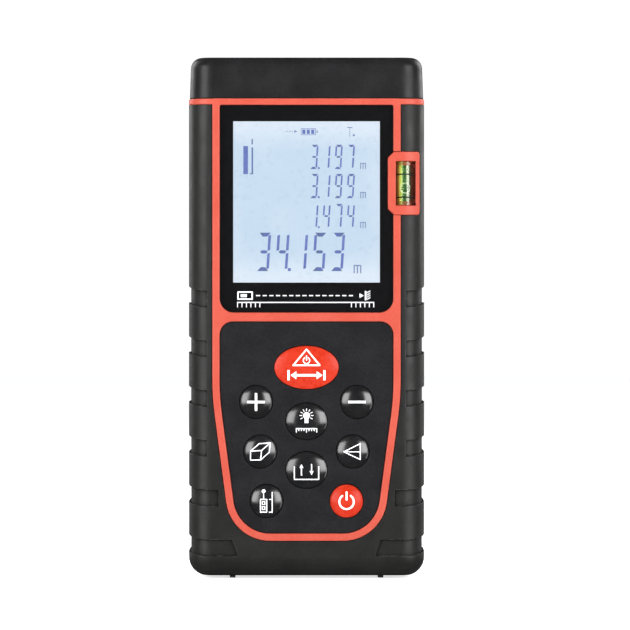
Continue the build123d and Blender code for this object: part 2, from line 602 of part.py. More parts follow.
# ================================================================ rear shell
with BuildSketch() as cover_recess:
    with Locations((0, HINGE_Z)):
        Rectangle(
            2 * (COVER_HALF + FIT), RECESS_TOP_Z - HINGE_Z, align=(Align.CENTER, Align.MIN)
        )
    fillet(cover_recess.vertices().group_by(Axis.Y)[-1], COVER_CORNER_R)
recess_face = cover_recess.sketch
nib_end = COVER_HALF + NIB_L + 2 * GAP
bay_half = BAY_HALF + BAY_WALL
pocket_half = LATCH_HALF + LATCH_ROOM
pocket_top = RECESS_TOP_Z + LATCH_LIP
with BuildPart() as rear_casing:
    add(core)
    with BuildSketch(front_plane(BACK_Y)):
        add(back_face)
    extrude(amount=BACK_PANEL_T)
    panel_rim = front_edges(rear_casing, BACK_Y).filter_by_position(Axis.Z, 0, CAP_Z - OVER)
    fillet(panel_rim, EDGE)
    add(collar)
    add(space, mode=Mode.SUBTRACT)
    snap_nibs(GAP, Mode.SUBTRACT)
    add(front_half, mode=Mode.SUBTRACT)
    # battery bay, screw towers and the block round the strap anchor
    add(
        block(
            (-bay_half, bay_half),
            (BAY_FLOOR_Y - BAY_FLOOR_T, REAR_BLOCK_Y),
            (BAY_Z[0] - BAY_WALL, BAY_Z[1] + BAY_WALL),
        )
    )
    add(
        block(
            (STRAP_X[0] - STRAP_WALL, STRAP_X[1] + STRAP_WALL),
            (STRAP_Y - STRAP_WALL, REAR_BLOCK_Y),
            (STRAP_Z[0] - STRAP_WALL, STRAP_Z[1] + STRAP_WALL),
        )
    )
    with BuildSketch(front_plane(TOWER_TOP_Y)):
        with Locations(*CASE_SCREWS):
            Circle(TOWER_R)
    extrude(amount=TOWER_TOP_Y - PARTING_Y)
    add(block((-BAY_HALF, BAY_HALF), (BAY_FLOOR_Y, BACK_Y + OVER), BAY_Z), mode=Mode.SUBTRACT)
    # block round the latch's pocket, above the bay
    add(
        block(
            (-pocket_half - BAY_WALL, pocket_half + BAY_WALL),
            (LATCH_POCKET_Y - BAY_WALL, REAR_BLOCK_Y),
            (BAY_Z[1], pocket_top + BAY_WALL),
        )
    )
    # seat of the cover: a flat recess, the round groove for its lower edge, sockets for its nibs
    with BuildSketch(front_plane(BACK_Y + OVER)):
        add(recess_face)
    extrude(amount=BACK_Y + OVER - COVER_Y[0] + GAP, mode=Mode.SUBTRACT)
    add(
        block(
            (-COVER_HALF - FIT, COVER_HALF + FIT),
            (HINGE_Y, BACK_Y + OVER),
            (HINGE_Z - HINGE_R - GAP, HINGE_Z + OVER),
        ),
        mode=Mode.SUBTRACT,
    )
    with BuildSketch(Plane.YZ.offset(-COVER_HALF - FIT)):
        with Locations((HINGE_Y, HINGE_Z)):
            Circle(HINGE_R + GAP)
    extrude(amount=2 * (COVER_HALF + FIT), mode=Mode.SUBTRACT)
    with BuildSketch(Plane.YZ.offset(-nib_end)):
        with Locations((HINGE_Y, HINGE_Z)):
            Circle(NIB_R + NIB_FIT)
    extrude(amount=2 * nib_end, mode=Mode.SUBTRACT)
    # room for the latch to swing in, a lip over its nose, and the finger scoop above it
    add(
        block((-pocket_half, pocket_half), LATCH_SWING_Y, (BAY_Z[1] - OVER, RECESS_TOP_Z)),
        mode=Mode.SUBTRACT,
    )
    add(
        block(
            (-pocket_half, pocket_half),
            (LATCH_POCKET_Y, COVER_Y[0] - GAP),
            (NOSE_Z[0] - LATCH_ROOM, pocket_top),
        ),
        mode=Mode.SUBTRACT,
    )
    with Locations((0, BACK_Y + SCOOP_R - SCOOP_DEPTH, RECESS_TOP_Z)):
        Sphere(SCOOP_R, mode=Mode.SUBTRACT)
    # slots for the terminal tabs
    for side in (-1, 1):
        tab = side * CELL_X
        add(
            block(
                (tab - TAB_HALF - GAP, tab + TAB_HALF + GAP),
                (BAY_FLOOR_Y - BAY_FLOOR_T - OVER, BAY_FLOOR_Y + OVER),
                (BAY_Z[0], BAY_Z[0] + CONTACT_T + GAP),
            ),
            mode=Mode.SUBTRACT,
        )
    # screw holes and counterbores
    with BuildSketch(front_plane(BACK_Y)):
        with Locations(*CASE_SCREWS):
            Circle(CASE_HEAD_R + FIT)
    extrude(amount=BACK_Y - CASE_SEAT_Y, mode=Mode.SUBTRACT)
    with BuildSketch(front_plane(CASE_SEAT_Y)):
        with Locations(*CASE_SCREWS):
            Circle(CASE_SHANK_R + FIT)
    extrude(amount=CASE_SEAT_Y - PARTING_Y + OVER, mode=Mode.SUBTRACT)
    # recess for the label, and the strap anchor with its pin hole
    with BuildSketch(front_plane(BACK_Y)):
        with Locations((0, sum(LABEL_Z) / 2)):
            RectangleRounded(
                2 * (LABEL_HALF + LABEL_GAP),
                LABEL_Z[1] - LABEL_Z[0] + 2 * LABEL_GAP,
                LABEL_R + LABEL_GAP,
            )
    extrude(amount=LABEL_T + LABEL_SINK, mode=Mode.SUBTRACT)
    add(block(STRAP_X, (STRAP_Y, BACK_Y + OVER), STRAP_Z), mode=Mode.SUBTRACT)
    with BuildSketch(Plane.YZ.offset(STRAP_PIN_X[0] - GAP)):
        with Locations((STRAP_PIN_Y, STRAP_PIN_Z)):
            Circle(STRAP_PIN_R)
    extrude(amount=STRAP_PIN_X[1] - STRAP_PIN_X[0] + 2 * GAP, mode=Mode.SUBTRACT)
    add(stud_solids, mode=Mode.SUBTRACT)
save("rear_casing", rear_casing)

rear_bands = band_cutters(False)
with BuildPart() as rear_grip:
    add(grip_skin)
    add(core, mode=Mode.SUBTRACT)
    add(front_half, mode=Mode.SUBTRACT)
    with BuildSketch(front_plane(BACK_Y + OVER)):
        add(back_face)
    extrude(amount=BACK_PANEL_T, mode=Mode.SUBTRACT)
    rim = front_edges(rear_grip, BACK_Y)
    fillet(
        rim.filter_by_position(Axis.X, -BACK_PANEL_HALF - SEAT_GAP, BACK_PANEL_HALF + SEAT_GAP), EDGE
    )
    add(rear_bands, mode=Mode.SUBTRACT)
    add(stud_solids, mode=Mode.SUBTRACT)
save("rear_grip", rear_grip)

with BuildPart() as strap_pin:
    with BuildSketch(Plane.YZ.offset(STRAP_PIN_X[0])):
        with Locations((STRAP_PIN_Y, STRAP_PIN_Z)):
            Circle(STRAP_PIN_R)
    extrude(amount=STRAP_PIN_X[1] - STRAP_PIN_X[0])
save("strap_pin", strap_pin)

with BuildPart() as rear_label:
    with BuildSketch(front_plane(BACK_Y - LABEL_SINK)):
        with Locations((0, sum(LABEL_Z) / 2)):
            RectangleRounded(2 * LABEL_HALF, LABEL_Z[1] - LABEL_Z[0], LABEL_R)
    extrude(amount=LABEL_T)
save("rear_label", rear_label)

# ================================================================ end cap
with BuildPart() as top_cap:
    with BuildSketch(Plane.XY.offset(CAP_Z)):
        with Locations((0, CAP_MID_Y)):
            RectangleRounded(CAP_W, CAP_D, EDGE_R)
    extrude(amount=LENGTH - CAP_Z, taper=CAP_TAPER)
    fillet(top_cap.faces().sort_by(Axis.Z)[-1].edges(), CAP_TOP_R)
    fillet(top_cap.faces().sort_by(Axis.Z)[0].edges(), EDGE)
    with BuildSketch(Plane.XY.offset(CAP_Z)):
        with Locations((0, sum(NECK_Y) / 2)):
            RectangleRounded(
                2 * (NECK_HALF + FIT), NECK_Y[1] - NECK_Y[0] + 2 * FIT, NECK_R + FIT
            )
    extrude(amount=CAP_INSIDE_Z - CAP_Z, taper=CAP_INSIDE_TAPER, mode=Mode.SUBTRACT)
    snap_nibs(0, Mode.ADD)
    for opening_x, opening_r in ((RECEIVER_X, RECEIVER_OPENING_R), (LASER_X, LASER_OPENING_R)):
        with Locations((opening_x, OPTICS_Y, CAP_INSIDE_Z - OVER)):
            Cylinder(opening_r, THROUGH, align=GROWS, mode=Mode.SUBTRACT)
        with Locations((opening_x, OPTICS_Y, LENGTH - OPENING_BEVEL)):
            Cone(
                opening_r,
                opening_r + 2 * OPENING_BEVEL,
                2 * OPENING_BEVEL,
                align=GROWS,
                mode=Mode.SUBTRACT,
            )
save("top_cap", top_cap)

# ================================================================ display and keypad
with BuildPart() as display_window:
    with BuildSketch(front_plane(WINDOW_Y + WINDOW_T)):
        add(window_face)
    extrude(amount=WINDOW_T)
    chamfer(front_edges(display_window, WINDOW_Y), WINDOW_BEVEL)
save("display_window", display_window)

with BuildPart() as window_mask:
    with BuildSketch(front_plane(MASK_Y + MASK_T)):
        add(window_face)
        with Locations((0, sum(VIEW_Z) / 2)):
            Rectangle(2 * VIEW_HALF, VIEW_Z[1] - VIEW_Z[0], mode=Mode.SUBTRACT)
    extrude(amount=MASK_T)
save("window_mask", window_mask)

with BuildPart() as keypad_panel:
    with BuildSketch(front_plane(PANEL_Y + PANEL_T)):
        add(panel_seat)
        for x, z, half_w, half_h in KEYS.values():
            with Locations((x, z)):
                Ellipse(half_w + KEY_GAP, half_h + KEY_GAP, mode=Mode.SUBTRACT)
    extrude(amount=PANEL_T)
    fillet(front_edges(keypad_panel, PANEL_Y), PANEL_ROUND)
save("keypad_panel", keypad_panel)


def key_dome(x, z, half_w, half_h):
    """Ellipsoid whose crown is the crown of the key."""
    ball = scale(Sphere(1), by=(DOME_SPREAD * half_w, DOME_DEPTH, DOME_SPREAD * half_h))
    return Pos(x, CROWN_Y + DOME_DEPTH, z) * ball


for key, (x, z, half_w, half_h) in KEYS.items():
    dome = key_dome(x, z, half_w, half_h)
    with BuildPart() as cap_of_key:
        with BuildSketch(front_plane(DOME_DEPTH + CROWN_Y)):
            with Locations((x, z)):
                Ellipse(half_w, half_h)
        extrude(amount=DOME_DEPTH)
        add(dome, mode=Mode.INTERSECT)
        with BuildSketch(front_plane(FLANGE_Y[1])):
            with Locations((x, z)):
                Ellipse(half_w, half_h)
        extrude(amount=FLANGE_Y[1] - CROWN_Y - DOME_DEPTH)
        with BuildSketch(front_plane(FLANGE_Y[1])):
            with Locations((x, z)):
                Ellipse(half_w + KEY_LIP, half_h + KEY_LIP)
        extrude(amount=FLANGE_Y[1] - FLANGE_Y[0])
        with BuildSketch(front_plane(STEM_END_Y)):
            with Locations((x, z)):
                Circle(STEM_R)
        extrude(amount=STEM_END_Y - FLANGE_Y[1])
    save(key, cap_of_key)

key_places = [(x, z) for x, z, half_w, half_h in KEYS.values()]
web_y = BOARD_Y[0] - MAT_T
with BuildPart() as keypad_mat:
    add(block((-MAT_HALF, MAT_HALF), (web_y, BOARD_Y[0]), MAT_Z))
    with Locations(*[towards_front(x, web_y, z) for x, z in key_places]):
        Cone(WEB_BASE_R, WEB_TOP_R, WEB_H, align=GROWS)
    with Locations(*[towards_front(x, BOARD_Y[0], z) for x, z in key_places]):
        Cone(
            WEB_BASE_R - WEB_WALL,
            WEB_TOP_R - WEB_WALL,
            MAT_T + WEB_H - WEB_TOP_T,
            align=GROWS,
            mode=Mode.SUBTRACT,
        )
        Cylinder(STEM_R + FIT, MAT_T + WEB_H + OVER, align=GROWS, mode=Mode.SUBTRACT)
save("keypad_mat", keypad_mat)

with BuildPart() as lcd_glass:
    add(block((-LCD_HALF, LCD_HALF), LCD_Y, LCD_Z))
save("lcd_glass", lcd_glass)

with BuildPart() as lcd_backlight:
    add(block((-LCD_HALF, LCD_HALF), (LCD_Y[1], LIGHT_BACK_Y), (ZEBRA_TOP_Z + GAP, LCD_Z[1])))
save("lcd_backlight", lcd_backlight)

zebra_z = (LCD_Z[0] + GAP, ZEBRA_TOP_Z - GAP)
with BuildPart() as zebra_strip:
    add(block((-ZEBRA_HALF, ZEBRA_HALF), (LCD_Y[1], BOARD_Y[0]), zebra_z))
save("zebra_strip", zebra_strip)

frame_half = LCD_HALF + FRAME_WALL
with BuildPart() as lcd_frame:
    add(
        block(
            (-frame_half, frame_half),
            (LCD_Y[0] + GAP, BOARD_Y[0]),
            (LCD_Z[0] - FRAME_WALL, LCD_Z[1] + FRAME_TOP_WALL),
        )
    )
    add(
        block(
            (-LCD_HALF - SEAT_GAP, LCD_HALF + SEAT_GAP),
            (LCD_Y[0] - OVER, LIGHT_BACK_Y),
            (LCD_Z[0] - SEAT_GAP, LCD_Z[1] + SEAT_GAP),
        ),
        mode=Mode.SUBTRACT,
    )
    add(
        block(
            (-ZEBRA_HALF - GAP, ZEBRA_HALF + GAP),
            (LIGHT_BACK_Y - OVER, BOARD_Y[0] + OVER),
            (LCD_Z[0], ZEBRA_TOP_Z),
        ),
        mode=Mode.SUBTRACT,
    )
save("lcd_frame", lcd_frame)

# ================================================================ circuit board
with BuildPart() as main_board:
    with BuildSketch(front_plane(BOARD_Y[1])):
        with Locations((0, sum(BOARD_Z) / 2)):
            Rectangle(2 * BOARD_HALF, BOARD_Z[1] - BOARD_Z[0])
        for side in (-1, 1):
            with Locations((side * BOARD_HALF, BOARD_Z[0])):
                Rectangle(*LOW_NOTCH, mode=Mode.SUBTRACT)
            with Locations((side * BOARD_HALF, BOARD_Z[1])):
                Rectangle(*TOP_NOTCH, mode=Mode.SUBTRACT)
        with Locations(*BOARD_SCREWS, *CHASSIS_SCREWS):
            Circle(SMALL_HOLE_R, mode=Mode.SUBTRACT)
    extrude(amount=BOARD_Y[1] - BOARD_Y[0])
save("main_board", main_board)

with BuildPart() as board_chips:
    for x, z, width, height, thick in CHIPS:
        add(
            block(
                (x - width / 2, x + width / 2),
                (BOARD_Y[1], BOARD_Y[1] + thick),
                (z - height / 2, z + height / 2),
            )
        )
save("board_chips", board_chips)

with BuildPart() as buzzer:
    with Locations(towards_front(BUZZER_X, BOARD_Y[1], BUZZER_Z)):
        Cylinder(BUZZER_R, BUZZER_H, align=BELOW)
        with Locations((0, 0, -BUZZER_H)):
            Cylinder(BUZZER_HOLE_R, 2 * BUZZER_HOLE_D, mode=Mode.SUBTRACT)
save("buzzer", buzzer)

with BuildPart() as capacitor:
    with Locations((CAPACITOR_X, BOARD_Y[1] + CAPACITOR_R, CAPACITOR_Z)):
        Cylinder(CAPACITOR_R, CAPACITOR_L, align=GROWS)
save("capacitor", capacitor)

# ================================================================ optics
with BuildPart() as optical_chassis:
    add(block((-PLATE_HALF, PLATE_HALF), PLATE_Y, (CHASSIS_Z[0], PLATE_TOP_Z)))
    for x, z in CHASSIS_SCREWS:
        side = 1 if x > 0 else -1
        ear = sorted((side * EAR_X[0], side * EAR_X[1]))
        add(block(ear, PLATE_Y, (z - EAR_HALF, z + EAR_HALF)))
    add(
        block(
            (RECEIVER_X - RECEIVER_BLOCK_HALF, RECEIVER_X + RECEIVER_BLOCK_HALF),
            (PLATE_Y[0], RECEIVER_BLOCK_BACK),
            (CHASSIS_Z[0], RECEIVER_BLOCK_TOP),
        )
    )
    with Locations((RECEIVER_X, OPTICS_Y, BARREL_FOOT_Z)):
        Cylinder(BARREL_R, CHASSIS_Z[1] - BARREL_FOOT_Z, align=GROWS)
    add(
        block(
            (LASER_X - LASER_BLOCK_HALF, LASER_X + LASER_BLOCK_HALF),
            (PLATE_Y[0], OPTICS_Y + LASER_BLOCK_HALF),
            LASER_BLOCK_Z,
        )
    )
    # light cone, lens seat, sensor hole, laser bore and screw holes
    with Locations((RECEIVER_X, OPTICS_Y, CONE_Z)):
        Cone(CONE_R, LENS_R - CONE_LEDGE, LENS_Z - CONE_Z, align=GROWS, mode=Mode.SUBTRACT)
    with Locations((RECEIVER_X, OPTICS_Y, LENS_Z)):
        Cylinder(LENS_R + TURNED_FIT, THROUGH, align=GROWS, mode=Mode.SUBTRACT)
    with Locations((RECEIVER_X, OPTICS_Y, CHASSIS_Z[0])):
        Cylinder(SENSOR_R + SEAT_GAP, SENSOR_SEAT_H, align=GROWS, mode=Mode.SUBTRACT)
        Cylinder(SENSOR_BORE_R, SENSOR_BORE_H, align=GROWS, mode=Mode.SUBTRACT)
    with Locations((LASER_X, OPTICS_Y, LASER_BLOCK_Z[0] - OVER)):
        Cylinder(
            LASER_R + TURNED_FIT,
            LASER_BLOCK_Z[1] - LASER_BLOCK_Z[0] + 2 * OVER,
            align=GROWS,
            mode=Mode.SUBTRACT,
        )
    with BuildSketch(front_plane(PLATE_Y[1] + OVER)):
        with Locations(*CHASSIS_SCREWS):
            Circle(SMALL_HOLE_R)
    extrude(amount=CHASSIS_T + 2 * OVER, mode=Mode.SUBTRACT)
save("optical_chassis", optical_chassis)

bulge_r = (LENS_R**2 + LENS_BULGE**2) / (2 * LENS_BULGE)
with BuildPart() as receiver_lens:
    with Locations((RECEIVER_X, OPTICS_Y, LENS_Z)):
        Cylinder(LENS_R, LENS_EDGE + LENS_BULGE, align=GROWS)
    with Locations((RECEIVER_X, OPTICS_Y, LENS_Z + LENS_EDGE + LENS_BULGE - bulge_r)):
        Sphere(bulge_r, mode=Mode.INTERSECT)
save("receiver_lens", receiver_lens)

with BuildPart() as lens_gasket:
    with Locations((RECEIVER_X, OPTICS_Y, CHASSIS_Z[1])):
        Cylinder(BARREL_R, CAP_INSIDE_Z - CHASSIS_Z[1], align=GROWS)
        Cylinder(LENS_R + GAP, THROUGH, align=GROWS, mode=Mode.SUBTRACT)
save("lens_gasket", lens_gasket)

lens_seat_z = LASER_Z[1] - COLLIMATOR_SEAT_H
with BuildPart() as laser_barrel:
    with Locations((LASER_X, OPTICS_Y, LASER_Z[0])):
        Cylinder(LASER_R, LASER_Z[1] - LASER_Z[0], align=GROWS)
        Cylinder(DIODE_R + TURNED_FIT, DIODE_SEAT_H, align=GROWS, mode=Mode.SUBTRACT)
        Cylinder(LASER_BORE_R, LASER_Z[1] - LASER_Z[0], align=GROWS, mode=Mode.SUBTRACT)
    with Locations((LASER_X, OPTICS_Y, lens_seat_z)):
        Cylinder(COLLIMATOR_R + TURNED_FIT, THROUGH, align=GROWS, mode=Mode.SUBTRACT)
save("laser_barrel", laser_barrel)

with BuildPart() as laser_diode:
    with Locations((LASER_X, OPTICS_Y, DIODE_Z)):
        Cylinder(DIODE_R, DIODE_T, align=GROWS)
        Cylinder(DIODE_CAN_R, DIODE_CAN_H, align=GROWS)
    with Locations(*[(LASER_X + dx, OPTICS_Y + dy, DIODE_Z) for dx, dy in DIODE_PINS]):
        Cylinder(DIODE_PIN_R, DIODE_PIN_L, align=BELOW)
save("laser_diode", laser_diode)

with BuildPart() as collimator_lens:
    with Locations((LASER_X, OPTICS_Y, lens_seat_z)):
        Cylinder(COLLIMATOR_R, COLLIMATOR_T, align=GROWS)
    with Locations((LASER_X, OPTICS_Y, lens_seat_z + COLLIMATOR_T)):
        Cone(COLLIMATOR_R, COLLIMATOR_TOP_R, COLLIMATOR_BULGE, align=GROWS)
save("collimator_lens", collimator_lens)

with BuildPart() as laser_window:
    with Locations((LASER_X, OPTICS_Y, CAP_INSIDE_Z)):
        Cylinder(LASER_WINDOW_R, LASER_WINDOW_T, align=BELOW)
save("laser_window", laser_window)

sensor_x = (RECEIVER_X - SENSOR_BOARD_HALF, RECEIVER_X + SENSOR_BOARD_HALF)
sensor_y = (OPTICS_Y - SENSOR_BOARD_DEPTH, OPTICS_Y + SENSOR_BOARD_DEPTH)
sensor_z = (CHASSIS_Z[0] - SENSOR_BOARD_T, CHASSIS_Z[0])
with BuildPart() as sensor_board:
    add(block(sensor_x, sensor_y, sensor_z))
save("sensor_board", sensor_board)

with BuildPart() as photodiode:
    with Locations((RECEIVER_X, OPTICS_Y, sensor_z[1])):
        Cylinder(SENSOR_R, SENSOR_FLANGE_T, align=GROWS)
        Cylinder(SENSOR_CAN_R, SENSOR_CAN_H, align=GROWS)
save("photodiode", photodiode)

shield_in = SHIELD_INSET + SHIELD_T
shield_z = (sensor_z[0] - SHIELD_H, sensor_z[0])
with BuildPart() as sensor_shield:
    add(
        block(
            (sensor_x[0] + SHIELD_INSET, sensor_x[1] - SHIELD_INSET),
            (sensor_y[0] + SHIELD_INSET, sensor_y[1] - SHIELD_INSET),
            shield_z,
        )
    )
    add(
        block(
            (sensor_x[0] + shield_in, sensor_x[1] - shield_in),
            (sensor_y[0] + shield_in, sensor_y[1] - shield_in),
            (shield_z[0] + SHIELD_T, shield_z[1] + OVER),
        ),
        mode=Mode.SUBTRACT,
    )
save("sensor_shield", sensor_shield)

ribbon_x = (RECEIVER_X - RIBBON_HALF, RECEIVER_X + RIBBON_HALF)
bend_z = (sensor_z[0] + RIBBON_BEND, sensor_z[0] + RIBBON_BEND + RIBBON_T)
with BuildPart() as sensor_ribbon:
    add(block(ribbon_x, (BOARD_Y[1], sensor_y[0]), bend_z))
    add(block(ribbon_x, (BOARD_Y[1], BOARD_Y[1] + RIBBON_T), (RIBBON_LOW_Z, bend_z[1])))
save("sensor_ribbon", sensor_ribbon)

# ================================================================ level
pocket_z = (LEVEL_Z[0] + LEVEL_ARM, LEVEL_Z[1] - LEVEL_ARM)
with BuildPart() as level_bracket:
    with BuildSketch(front_plane(LEVEL_BACK_Y)):
        add(bracket_face)
    extrude(amount=LEVEL_BACK_Y - FRAME_Y)
    add(bracket_skin, mode=Mode.INTERSECT)
    add(block(LEVEL_POCKET_X, (FRAME_Y - OVER, LEVEL_FLOOR_Y), pocket_z), mode=Mode.SUBTRACT)
    # two cradles that hold the vial
    for cradle_z in (pocket_z[0] + CRADLE_INSET, pocket_z[1] - CRADLE_INSET):
        add(
            block(
                LEVEL_POCKET_X,
                (VIAL_Y + CRADLE_DEPTH, LEVEL_FLOOR_Y),
                (cradle_z - CRADLE_T / 2, cradle_z + CRADLE_T / 2),
            )
        )
    with Locations((VIAL_X, VIAL_Y, VIAL_MID_Z)):
        Cylinder(VIAL_R, VIAL_LENGTH, mode=Mode.SUBTRACT)
    fillet(front_edges(level_bracket, FRAME_Y), EDGE)
    # between the arms the wall beside the vial is lower and slopes outwards
    slope = (LEVEL_WALL_Y[1] - LEVEL_WALL_Y[0]) / (LEVEL_X[1] - LEVEL_POCKET_X[1])
    with BuildSketch(Plane.XY.offset(pocket_z[0])):
        with BuildLine():
            Polyline(
                (LEVEL_POCKET_X[1] - OVER, LEVEL_WALL_Y[0] - slope * OVER),
                (LEVEL_X[1] + OVER, LEVEL_WALL_Y[1] + slope * OVER),
                (LEVEL_X[1] + OVER, FRAME_Y - OVER),
                (LEVEL_POCKET_X[1] - OVER, FRAME_Y - OVER),
                close=True,
            )
        make_face()
    extrude(amount=pocket_z[1] - pocket_z[0], mode=Mode.SUBTRACT)
save("level_bracket", level_bracket)

with BuildPart() as vial_tube:
    with Locations((VIAL_X, VIAL_Y, VIAL_MID_Z)):
        Cylinder(VIAL_R, VIAL_LENGTH)
        Cylinder(VIAL_BORE, VIAL_LENGTH, mode=Mode.SUBTRACT)
save("vial_tube", vial_tube)

plug_z = (VIAL_LENGTH - PLUG_T) / 2
with BuildPart() as vial_plugs:
    with Locations(*[(VIAL_X, VIAL_Y, VIAL_MID_Z + side * plug_z) for side in (-1, 1)]):
        Cylinder(VIAL_BORE, PLUG_T)
save("vial_plugs", vial_plugs)

with BuildPart() as vial_fluid:
    with Locations((VIAL_X, VIAL_Y, VIAL_MID_Z)):
        Cylinder(VIAL_BORE - TURNED_FIT, VIAL_LENGTH - 2 * (PLUG_T + TURNED_FIT))
        with Locations((0, -CHANNEL_SHIFT, 0)):
            Cylinder(CHANNEL_R, VIAL_LENGTH, mode=Mode.SUBTRACT)
save("vial_fluid", vial_fluid)

with BuildPart() as vial_rings:
    with Locations(*[(VIAL_X, VIAL_Y, z) for z in INDEX_Z]):
        Cylinder(VIAL_R + INDEX_T, INDEX_H)
    with Locations((VIAL_X, VIAL_Y, VIAL_MID_Z)):
        Cylinder(VIAL_R, VIAL_LENGTH, mode=Mode.SUBTRACT)
save("vial_rings", vial_rings)

with BuildPart() as level_bubble:
    with Locations((VIAL_X, VIAL_Y - BUBBLE_SHIFT, BUBBLE_Z)):
        Cylinder(BUBBLE_R, BUBBLE_LENGTH)
    fillet(level_bubble.edges().filter_by(GeomType.CIRCLE), BUBBLE_ROUND)
save("level_bubble", level_bubble)


# ================================================================ batteries
def cell(x, low, nub_up):
    """One AAA cell: sleeve with a rolled shoulder, nub at one end."""
    body = CELL_LENGTH - NUB_H
    with BuildPart() as built:
        Cylinder(CELL_R, body, align=GROWS)
        fillet(built.edges().filter_by(GeomType.CIRCLE), CELL_RING)
        with Locations((0, 0, body)):
            Cylinder(NUB_R, NUB_H, align=GROWS)
    turned = built.part if nub_up else Rot(180, 0, 0) * built.part
    base = low if nub_up else low + CELL_LENGTH
    return Pos(x, CELL_Y, base) * turned


low_z = BAY_Z[0] + CONTACT_T
left_cell = cell(-CELL_X, low_z + SPRING_H, True)
right_cell = cell(CELL_X, low_z, False)
with BuildPart() as aaa_cell_left:
    add(left_cell)
save("aaa_cell_left", aaa_cell_left)
with BuildPart() as aaa_cell_right:
    add(right_cell)
save("aaa_cell_right", aaa_cell_right)

spring_feet = [(-CELL_X, low_z), (CELL_X, BAY_Z[1] - CONTACT_T - SPRING_H)]
coil = Helix(SPRING_PITCH, SPRING_H - 2 * (WIRE_R + SPRING_GAP), SPRING_R)
with BuildPart() as battery_springs:
    for x, foot_z in spring_feet:
        path = Pos(x, CELL_Y, foot_z + WIRE_R + SPRING_GAP) * coil
        with BuildSketch(Plane(path @ 0, z_dir=path % 0)):
            Circle(WIRE_R)
        sweep(path=path)
save("battery_springs", battery_springs)

with BuildPart() as battery_terminals:
    for x in (-CELL_X, CELL_X):
        add(block((x - CONTACT_HALF, x + CONTACT_HALF), CONTACT_Y, (BAY_Z[0], low_z)))
        add(block((x - TAB_HALF, x + TAB_HALF), (BOARD_Y[1], CONTACT_Y[0]), (BAY_Z[0], low_z)))
save("battery_terminals", battery_terminals)

bridge_half = CELL_X + CONTACT_HALF
with BuildPart() as battery_bridge:
    add(block((-bridge_half, bridge_half), CONTACT_Y, (BAY_Z[1] - CONTACT_T, BAY_Z[1])))
save("battery_bridge", battery_bridge)

# ================================================================ battery cover and latch
slot_half = LATCH_HALF + LATCH_GAP
with BuildPart() as battery_cover:
    add(block((-COVER_HALF, COVER_HALF), COVER_Y, (HINGE_Z, COVER_TOP_Z)))
    corners = battery_cover.edges().filter_by(Axis.Y).group_by(Axis.Z)[-1]
    fillet(corners, COVER_CORNER_R)
    with BuildSketch(Plane.YZ.offset(-COVER_HALF)):
        with Locations((HINGE_Y, HINGE_Z)):
            Circle(HINGE_R)
    extrude(amount=2 * COVER_HALF)
    with BuildSketch(Plane.YZ.offset(-COVER_HALF - NIB_L)):
        with Locations((HINGE_Y, HINGE_Z)):
            Circle(NIB_R)
    extrude(amount=2 * (COVER_HALF + NIB_L))
    slot_y = (COVER_Y[0] - OVER, COVER_Y[1] + OVER)
    add(
        block((-slot_half, slot_half), slot_y, (LATCH_ROOT_Z, COVER_TOP_Z + OVER)),
        mode=Mode.SUBTRACT,
    )
    with BuildSketch(Plane.YZ.offset(-slot_half)):
        with Locations((LATCH_ROOT_Y, LATCH_ROOT_Z)):
            Circle(LATCH_ROOT_R + LATCH_ROOT_GAP)
    extrude(amount=2 * slot_half, mode=Mode.SUBTRACT)
    fillet(front_edges(battery_cover, COVER_Y[1]).filter_by(Axis.X, reverse=True), EDGE)
save("battery_cover", battery_cover)

groove_half = LATCH_HALF - GROOVE_INSET
with BuildPart() as cover_latch:
    latch_z = (LATCH_ROOT_Z + LATCH_ROOT_R + LATCH_ROOT_GAP, LATCH_TOP_Z)
    add(block((-LATCH_HALF, LATCH_HALF), COVER_Y, latch_z))
    fillet(front_edges(cover_latch, COVER_Y[1]), EDGE)
    web = (LATCH_ROOT_Y - LATCH_ROOT_R, LATCH_ROOT_Y + LATCH_ROOT_R)
    add(block((-LATCH_HALF, LATCH_HALF), web, (LATCH_ROOT_Z, LATCH_ROOT_Z + OVER)))
    with BuildSketch(Plane.YZ.offset(-LATCH_HALF)):
        with Locations((LATCH_ROOT_Y, LATCH_ROOT_Z)):
            Circle(LATCH_ROOT_R)
    extrude(amount=2 * LATCH_HALF)
    add(block((-NOSE_HALF, NOSE_HALF), (NOSE_Y[0], COVER_Y[0] + GAP), (NOSE_Z[0], LATCH_TOP_Z)))
    add(block((-NOSE_HALF, NOSE_HALF), NOSE_Y, NOSE_Z))
    for z in GROOVES_Z:
        add(
            block(
                (-groove_half, groove_half),
                (COVER_Y[1] - GROOVE_DEPTH, COVER_Y[1] + OVER),
                (z - GROOVE_HALF, z + GROOVE_HALF),
            ),
            mode=Mode.SUBTRACT,
        )
save("cover_latch", cover_latch)

# ================================================================ screws
case_screws = screws(
    CASE_SCREWS, CASE_SEAT_Y, CASE_HEAD_R, CASE_HEAD_H, CASE_SHANK_R, CASE_TIP_Y
)
save("case_screws", case_screws)
board_screws = screws(
    BOARD_SCREWS, BOARD_Y[1], SMALL_HEAD_R, SMALL_HEAD_H, SMALL_SHANK_R, SMALL_TIP_Y
)
save("board_screws", board_screws)
chassis_screws = screws(
    CHASSIS_SCREWS, PLATE_Y[1], SMALL_HEAD_R, SMALL_HEAD_H, SMALL_SHANK_R, SMALL_TIP_Y
)
save("chassis_screws", chassis_screws)
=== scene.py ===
"""Looks of the laser distance meter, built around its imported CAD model. Lengths are in metres."""

import math

import bmesh
import bpy
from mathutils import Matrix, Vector
from mathutils.geometry import delaunay_2d_cdt

